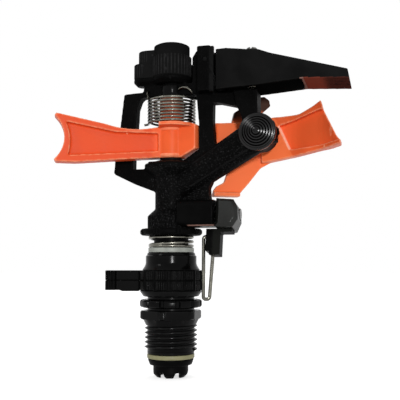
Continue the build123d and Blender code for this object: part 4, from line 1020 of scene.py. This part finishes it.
def sleeve_shade(position, normal):
    """Painted shade that rises up the sleeve inside the spring."""
    if Vector((position.x, position.y)).length < SLEEVE_SIDE_R and position.z > SLEEVE_LOW_Z:
        return SLEEVE_SHADE_START + SLEEVE_SHADE_RISE * between(position.z, SLEEVE_LOW_Z, SLEEVE_HIGH_Z)
    return 0.0


def finger_shade(position, normal):
    """Painted shade, full at the finger behind the bracket and at its root."""
    lowest = ROOT_LOW_Z if position.x < ROOT_X else FINGER_LOW_Z
    if FINGER_X < position.x < POCKET_EDGE[0].x and position.z > lowest:
        return FINGER_SHADE * between(position.z, lowest, lowest + FINGER_FADE)
    return 0.0


def painted_light(position, normal):
    """Painted light: slight on the hub, full on the bar and the tail, and half in the spoon's pocket."""
    low, high = POCKET_EDGE
    edge_x = low.x + (high.x - low.x) * between(position.z, low.y, high.y)
    if position.x > edge_x:
        return POCKET_PAINTED_LIGHT
    hub = HUB_PAINTED_LIGHT * clamped(between(position.x, -HUB_R - MM, -HUB_R))
    return max(hub, between(position.x, BAR_X, BAR_X + MM))


def pocket_rim_highlight(position, normal):
    """Painted highlight along the spoon pocket's edge nearest the hub."""
    low, high = POCKET_EDGE
    spot = Vector((position.x, position.z))
    along = (high - low).normalized()
    share = (spot - low).dot(along)
    off = (spot - low - along * share).length
    inside = 0 < share < (high - low).length
    return 1.0 - between(off, *POCKET_HIGHLIGHT_BAND) if inside else 0.0


class SPRINKLER_OT_arm(Step, Operator):
    """Rounds the orange impact arm, cuts its spring seat and adds the bands of its hub"""
    bl_idname = "sprinkler.arm"
    bl_label = "Impact arm"

    def build(self, sizes):
        plan = [turned(SEAT_CUT_R, SEAT_CUT_TURN + SEAT_CUT_HALF * (step / 8 - 1), 0)[:2] for step in range(17)]
        cutter = prism("seat_cutter", plan, SEAT_LOWEST_Z, SLEEVE_LOW_Z)
        arm = moulded("impact_arm", "drive_arm", sizes.coarse_voxel, rounding=3, keep=0.5, cutter=cutter)
        dress(arm, "orange", "orange_plastic", "arm", "drive_arm")
        # Painted shade on the sleeve and the finger, painted light, and a painted highlight on the pocket's rim.
        for name, rule in (("sleeve_shade", sleeve_shade), ("dark", finger_shade), ("painted_light", painted_light), ("rim", pocket_rim_highlight)):
            mark(arm, name, rule)
        for index, height in enumerate(HUB_BANDS, 1):
            section = [(HUB_R + BAND_DEPTH * math.cos(a), height + BAND_HALF * math.sin(a))
                       for a in (2 * math.pi * step / BAND_SIDES for step in range(BAND_SIDES))]
            band = dress(lathe("arm_hub_band_%d" % index, section), "orange", "orange_plastic", "arm")
            mark(band, "painted_light", painted_light)


HOOK_ANGLE = math.radians(198)
HOOK_RISE = 2.6 * MM
HOOK_STEP = Vector((-0.35, -0.1, 0.2)) * MM
HOOK_INWARD = Vector((0.6, 2.2, 0.1)) * MM
HOOK_BEND = 0.4 * MM
ARC_BEND = 0.8 * MM
LEG_REACH = 1.7 * MM
LEG_DROP = 0.35 * MM
LEG_BACK = (0.4 * MM, 0.5 * MM)
HOOK_ARC = ((3.0, -1.8, 91.0), (4.0, -3.1, 91.7), (5.4, -3.4, 92.3), (7.3, -3.5, 91.9), (9.1, -3.3, 90.6),
            (9.3, -1.8, 89.6))


class SPRINKLER_OT_arm_spring(Step, Operator):
    """Winds the arm's torsion spring with its leg and its hooked ends"""
    bl_idname = "sprinkler.arm_spring"
    bl_label = "Arm spring"

    def build(self, sizes):
        low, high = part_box("arm_spring")
        wire_r = sizes.arm_wire
        bottom, top = low.z + wire_r, high.z - wire_r
        coil = helix(high.x - wire_r, steady(bottom, top), sizes.arm_turns, start=HOOK_ANGLE)
        first = coil[0]
        outward = Vector((first.x, first.y, 0)).normalized()
        back = Vector((outward.y, -outward.x, 0))
        leg = [first + outward * LEG_REACH + back * LEG_BACK[0] - Vector((0, 0, LEG_DROP)),
               first + back * LEG_BACK[1]]
        upright = coil[-1] + HOOK_STEP
        rise = upright + Vector((0, 0, HOOK_RISE))
        points = eased([*leg, *coil[::2], upright, rise, rise + HOOK_INWARD], HOOK_BEND, 3)
        spring = wire("arm_coil", points, wire_r, sizes.wire_sides, "steel")
        dress(shade_turns(spring), "steel", "stainless_steel")
        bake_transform(spring)
        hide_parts("arm_spring")
        arc = eased([Vector(point) * MM for point in HOOK_ARC], ARC_BEND, 4)
        hook = wire("arm_coil_hook", arc, wire_r, sizes.wire_sides, "steel")
        dress(hook, "steel", "stainless_steel", "head")


PLUG_SHANK_SHARE = 0.55
PLUG_SHANK_END = 2.6 * MM
PLUG_EDGE = 0.3 * MM
PLUG_FLANGE = (1.2 * MM, 1.6 * MM)
PLUG_SHOULDER = 0.5 * MM
PLUG_RINGS = 6
PLUG_FACE_EDGE = 0.9 * MM
PLUG_RING = ((0.0, -0.4), (0.12, -0.08), (0.55, 0.06), (0.68, -0.3))


class SPRINKLER_OT_nozzle(Step, Operator):
    """Turns the side plug with the rings of its face"""
    bl_idname = "sprinkler.nozzle"
    bl_label = "Nozzle plug"

    def build(self, sizes):
        low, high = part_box("side_plug")
        centre = Vector(((low.x + high.x) / 2, high.y, (low.z + high.z) / 2))
        outer = (high.x - low.x) / 2
        shank = outer * PLUG_SHANK_SHARE
        foot, flange = PLUG_SHANK_END + PLUG_FLANGE[0], PLUG_SHANK_END + PLUG_FLANGE[1]
        profile = [(0.0, 0.0), (shank, 0.0), (shank, PLUG_SHANK_END), (outer - PLUG_EDGE, PLUG_SHANK_END),
                   (outer, PLUG_SHANK_END + PLUG_EDGE), (outer, foot), (outer - PLUG_SHOULDER, flange)]
        rise = high.y - low.y - PLUG_EDGE - flange
        start_r = outer - PLUG_FACE_EDGE
        for index in range(PLUG_RINGS):
            radius = start_r - index * start_r / (PLUG_RINGS + 0.5)
            height = flange + rise * (index + 1) / PLUG_RINGS
            profile += [(radius - inward * MM, height + up * MM) for inward, up in PLUG_RING]
        profile.append((0.0, profile[-1][1]))
        plug = lathe("plug_face", profile, centre, Vector((0, -1, 0)), smooth_angle=50)
        dress(plug, "plug", "black_plastic", "head", "side_plug")


TRIP_REST = math.radians(-12.0)
HAIRPIN_BEND = 1.1 * MM
CASE_GLINT_Z = 36.4 * MM
CASE_NEAR_Y = -5.0 * MM
CASE_LEFT_X = 9.0 * MM
GLINT_HALF = (0.08 * MM, 0.3 * MM)
CLIP_LIGHT_X = (17.9 * MM, 18.5 * MM)
HAIRPIN = ((17.9, 32.0), (13.9, 32.0), (15.1, 7.4), (17.5, 7.4), (18.1, 28.4))


def trip_tilt(point):
    """Place of an upright (x, z) point after the trip's rest tilt about its pin."""
    low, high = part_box("trip_pivot")
    pin_z = (low.z + high.z) / 2
    drop = point[1] * MM - pin_z
    return Vector((point[0] * MM, -drop * math.sin(TRIP_REST), pin_z + drop * math.cos(TRIP_REST)))


def case_glint(position, normal):
    """Painted highlight: a bright line along the near lower edge of the trip's housing."""
    if position.y > CASE_NEAR_Y or position.x < CASE_LEFT_X:
        return 0.0
    return 1.0 - between(abs(position.z - CASE_GLINT_Z), *GLINT_HALF)


def clip_light(position, normal):
    """Lighter right half of the clip, on its front faces only."""
    return between(position.x, *CLIP_LIGHT_X) if normal.y < -0.5 else 0.0


class SPRINKLER_OT_trip(Step, Operator):
    """Rounds the trip's housing, hammer and clip, and bends its hairpin wire"""
    bl_idname = "sprinkler.trip"
    bl_label = "Trip"

    def build(self, sizes):
        housing = moulded("trip_case", "trip_housing", sizes.fine_voxel, rounding=3, keep=0.4)
        # Painted highlight along the housing's lower edge.
        mark(dress(housing, "smooth_black", "black_plastic", "head", "trip_housing"), "glint", case_glint)
        hammer = moulded("trip_hammer", "trip_lever", sizes.fine_voxel, rounding=1, keep=0.5)
        dress(hammer, "worn_black", "black_plastic", "trip", "trip_lever")
        clip = moulded("trip_clip", "trip_hanger", sizes.fine_voxel * 0.8, rounding=2, keep=0.5)
        # Lighter grey on the right half of the clip's front faces.
        mark(dress(clip, "smooth_black", "black_plastic", "trip", "trip_hanger"), "brightened", clip_light)
        line = eased([trip_tilt(point) for point in HAIRPIN], HAIRPIN_BEND, 6)
        hairpin = wire("trip_hairpin", line, sizes.trip_wire, sizes.wire_sides, "steel")
        dress(hairpin, "steel", "stainless_steel", "trip", "trip_wire")


TIP_X = 53.0 * MM
TIP_LOW_Z = 93.4 * MM
TIP_FRONT_X = 54.3 * MM
COMB_X = 60.5 * MM
COMB_FADE = 3.0 * MM
COMB_SHADE = 0.65
TIP_GLINT = 0.9
SCREW_HEAD = 2.3 * MM
SCREW_SHADE = 0.9
SCREW_THREAD_R = 1.38 * MM
SCREW_THREAD_ENDS = (1.8 * MM, 3.0 * MM)
SCREW_PITCH = 1.2 * MM
SCREW_RIDGE = 0.32 * MM


def painted_tip_reflection(position, normal):
    """Painted reflection of the orange arm under the visor's tip, darker along its comb."""
    if normal.z > -0.3 or position.x < TIP_FRONT_X or position.z > TIP_LOW_Z:
        return 0.0
    return 1.0 - COMB_SHADE * clamped(between(position.x, COMB_X, COMB_X + COMB_FADE))


def tip_glint(position, normal):
    """Painted highlight on the front edge of the tip's flat underside."""
    front = TIP_X < position.x < TIP_FRONT_X and position.z < TIP_LOW_Z
    return TIP_GLINT if front and normal.z < -0.2 else 0.0


class SPRINKLER_OT_visor(Step, Operator):
    """Rounds the visor and turns its adjusting screw"""
    bl_idname = "sprinkler.visor"
    bl_label = "Visor"

    def build(self, sizes):
        visor = moulded("visor_hood", "visor", sizes.fine_voxel * 1.2, rounding=2, keep=0.35)
        dress(visor, "flat_black", "black_plastic", "deflector", "visor")
        # Painted reflection under the tip and a painted highlight on its front edge.
        mark(visor, "tip_reflection", painted_tip_reflection)
        mark(visor, "glint", tip_glint)
        low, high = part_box("visor_screw")
        screw = moulded("adjusting_screw", "visor_screw", sizes.fine_voxel * 0.7, rounding=1, keep=0.5)
        mark(screw, "shade", lambda position, normal: SCREW_SHADE if position.z > high.z - SCREW_HEAD else 0.0)
        dress(screw, "steel", "stainless_steel", "screw", "visor_screw")
        start, end = low.z + SCREW_THREAD_ENDS[0], high.z - SCREW_THREAD_ENDS[1]
        centre = Vector(((low.x + high.x) / 2, (low.y + high.y) / 2, 0))
        turns = helix(SCREW_THREAD_R, steady(start, end), (end - start) / SCREW_PITCH, per_turn=24)
        points = [centre + point for point in turns]
        thread = wire("screw_thread", points, SCREW_RIDGE, 3, "steel")
        dress(thread, "steel", "stainless_steel", "screw")


# Name, count if not the user's, ring and rib radius, bottom above the skirt's foot, height and x of the centre
CAP_RIBS = (("cap_ribs", None, 7.7, 0.36, 0.3, 8.0, 0.0), ("cap_lug_ribs", 22, 3.78, 0.22, 6.5, 4.6, -10.1),
            ("cap_step_ribs", 22, 3.78, 0.22, 0.3, 5.6, -12.1))


class SPRINKLER_OT_cap(Step, Operator):
    """Rounds the tension cap and sets its ribs"""
    bl_idname = "sprinkler.cap"
    bl_label = "Tension cap"

    def build(self, sizes):
        cap = moulded("cap_moulding", "tension_cap", sizes.fine_voxel, rounding=3, keep=0.5)
        dress(cap, "flat_black", "black_plastic", "cap", "tension_cap")
        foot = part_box("tension_cap")[0].z
        for name, count, ring_r, rib_r, rise, height, x in CAP_RIBS:
            grip = ribs(name, count or sizes.cap_ribs, ring_r * MM, rib_r * MM, foot + rise * MM, height * MM,
                        "flat_black", Vector((x * MM, 0, 0)))
            dress(grip, "flat_black", "black_plastic", "cap")


INNER_FINISHES = {"steel": ("arm_shaft", "trip_spring"),
                  "dark_steel": ("trip_pivot", "screw_washer"),
                  "rubber": ("seal_washer", "nozzle_seal", "plug_seal"),
                  "pale": ("stream_vane",),
                  "smooth_black": ("nozzle", "visor_pin", "arm_upper_washer", "arm_lower_washer")}


class SPRINKLER_OT_inner_pieces(Step, Operator):
    """Finishes the pins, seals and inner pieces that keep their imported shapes"""
    bl_idname = "sprinkler.inner_pieces"
    bl_label = "Pins and seals"

    def build(self, sizes):
        for material, nodes in INNER_FINISHES.items():
            for node in nodes:
                coat(frame["nodes"][node].data, material)


OPERATORS = (SPRINKLER_OT_stage, SPRINKLER_OT_nipple, SPRINKLER_OT_washers, SPRINKLER_OT_collars,
             SPRINKLER_OT_head, SPRINKLER_OT_bearing_spring, SPRINKLER_OT_arm, SPRINKLER_OT_arm_spring,
             SPRINKLER_OT_nozzle, SPRINKLER_OT_trip, SPRINKLER_OT_visor, SPRINKLER_OT_cap,
             SPRINKLER_OT_inner_pieces)


class SPRINKLER_PT_panel(Panel):
    """Lists the sprinkler's pieces"""
    bl_label = "Impact sprinkler"
    bl_space_type = "VIEW_3D"
    bl_region_type = "UI"
    bl_category = "Sprinkler"

    def draw(self, context):
        for operator in OPERATORS:
            self.layout.operator(operator.bl_idname)


CLASSES = (SprinklerSizes, SprinklerColours, *OPERATORS, SPRINKLER_PT_panel)


def register():
    """Registers the classes and their settings."""
    for item in CLASSES:
        bpy.utils.register_class(item)
    bpy.types.Scene.sprinkler_sizes = PointerProperty(type=SprinklerSizes)
    bpy.types.Scene.sprinkler_colours = PointerProperty(type=SprinklerColours)


def unregister():
    """Removes the settings and the classes."""
    del bpy.types.Scene.sprinkler_colours
    del bpy.types.Scene.sprinkler_sizes
    for item in reversed(CLASSES):
        bpy.utils.unregister_class(item)


def main():
    """Builds the scene."""
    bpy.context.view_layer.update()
    register()
    make_materials(bpy.context.scene.sprinkler_colours)
    TREES.update(wire=wire_tree(), ribs=rib_tree())
    for operator in OPERATORS:
        family, name = operator.bl_idname.split(".")
        getattr(getattr(bpy.ops, family), name)()


if __name__ == "__main__":
    main()
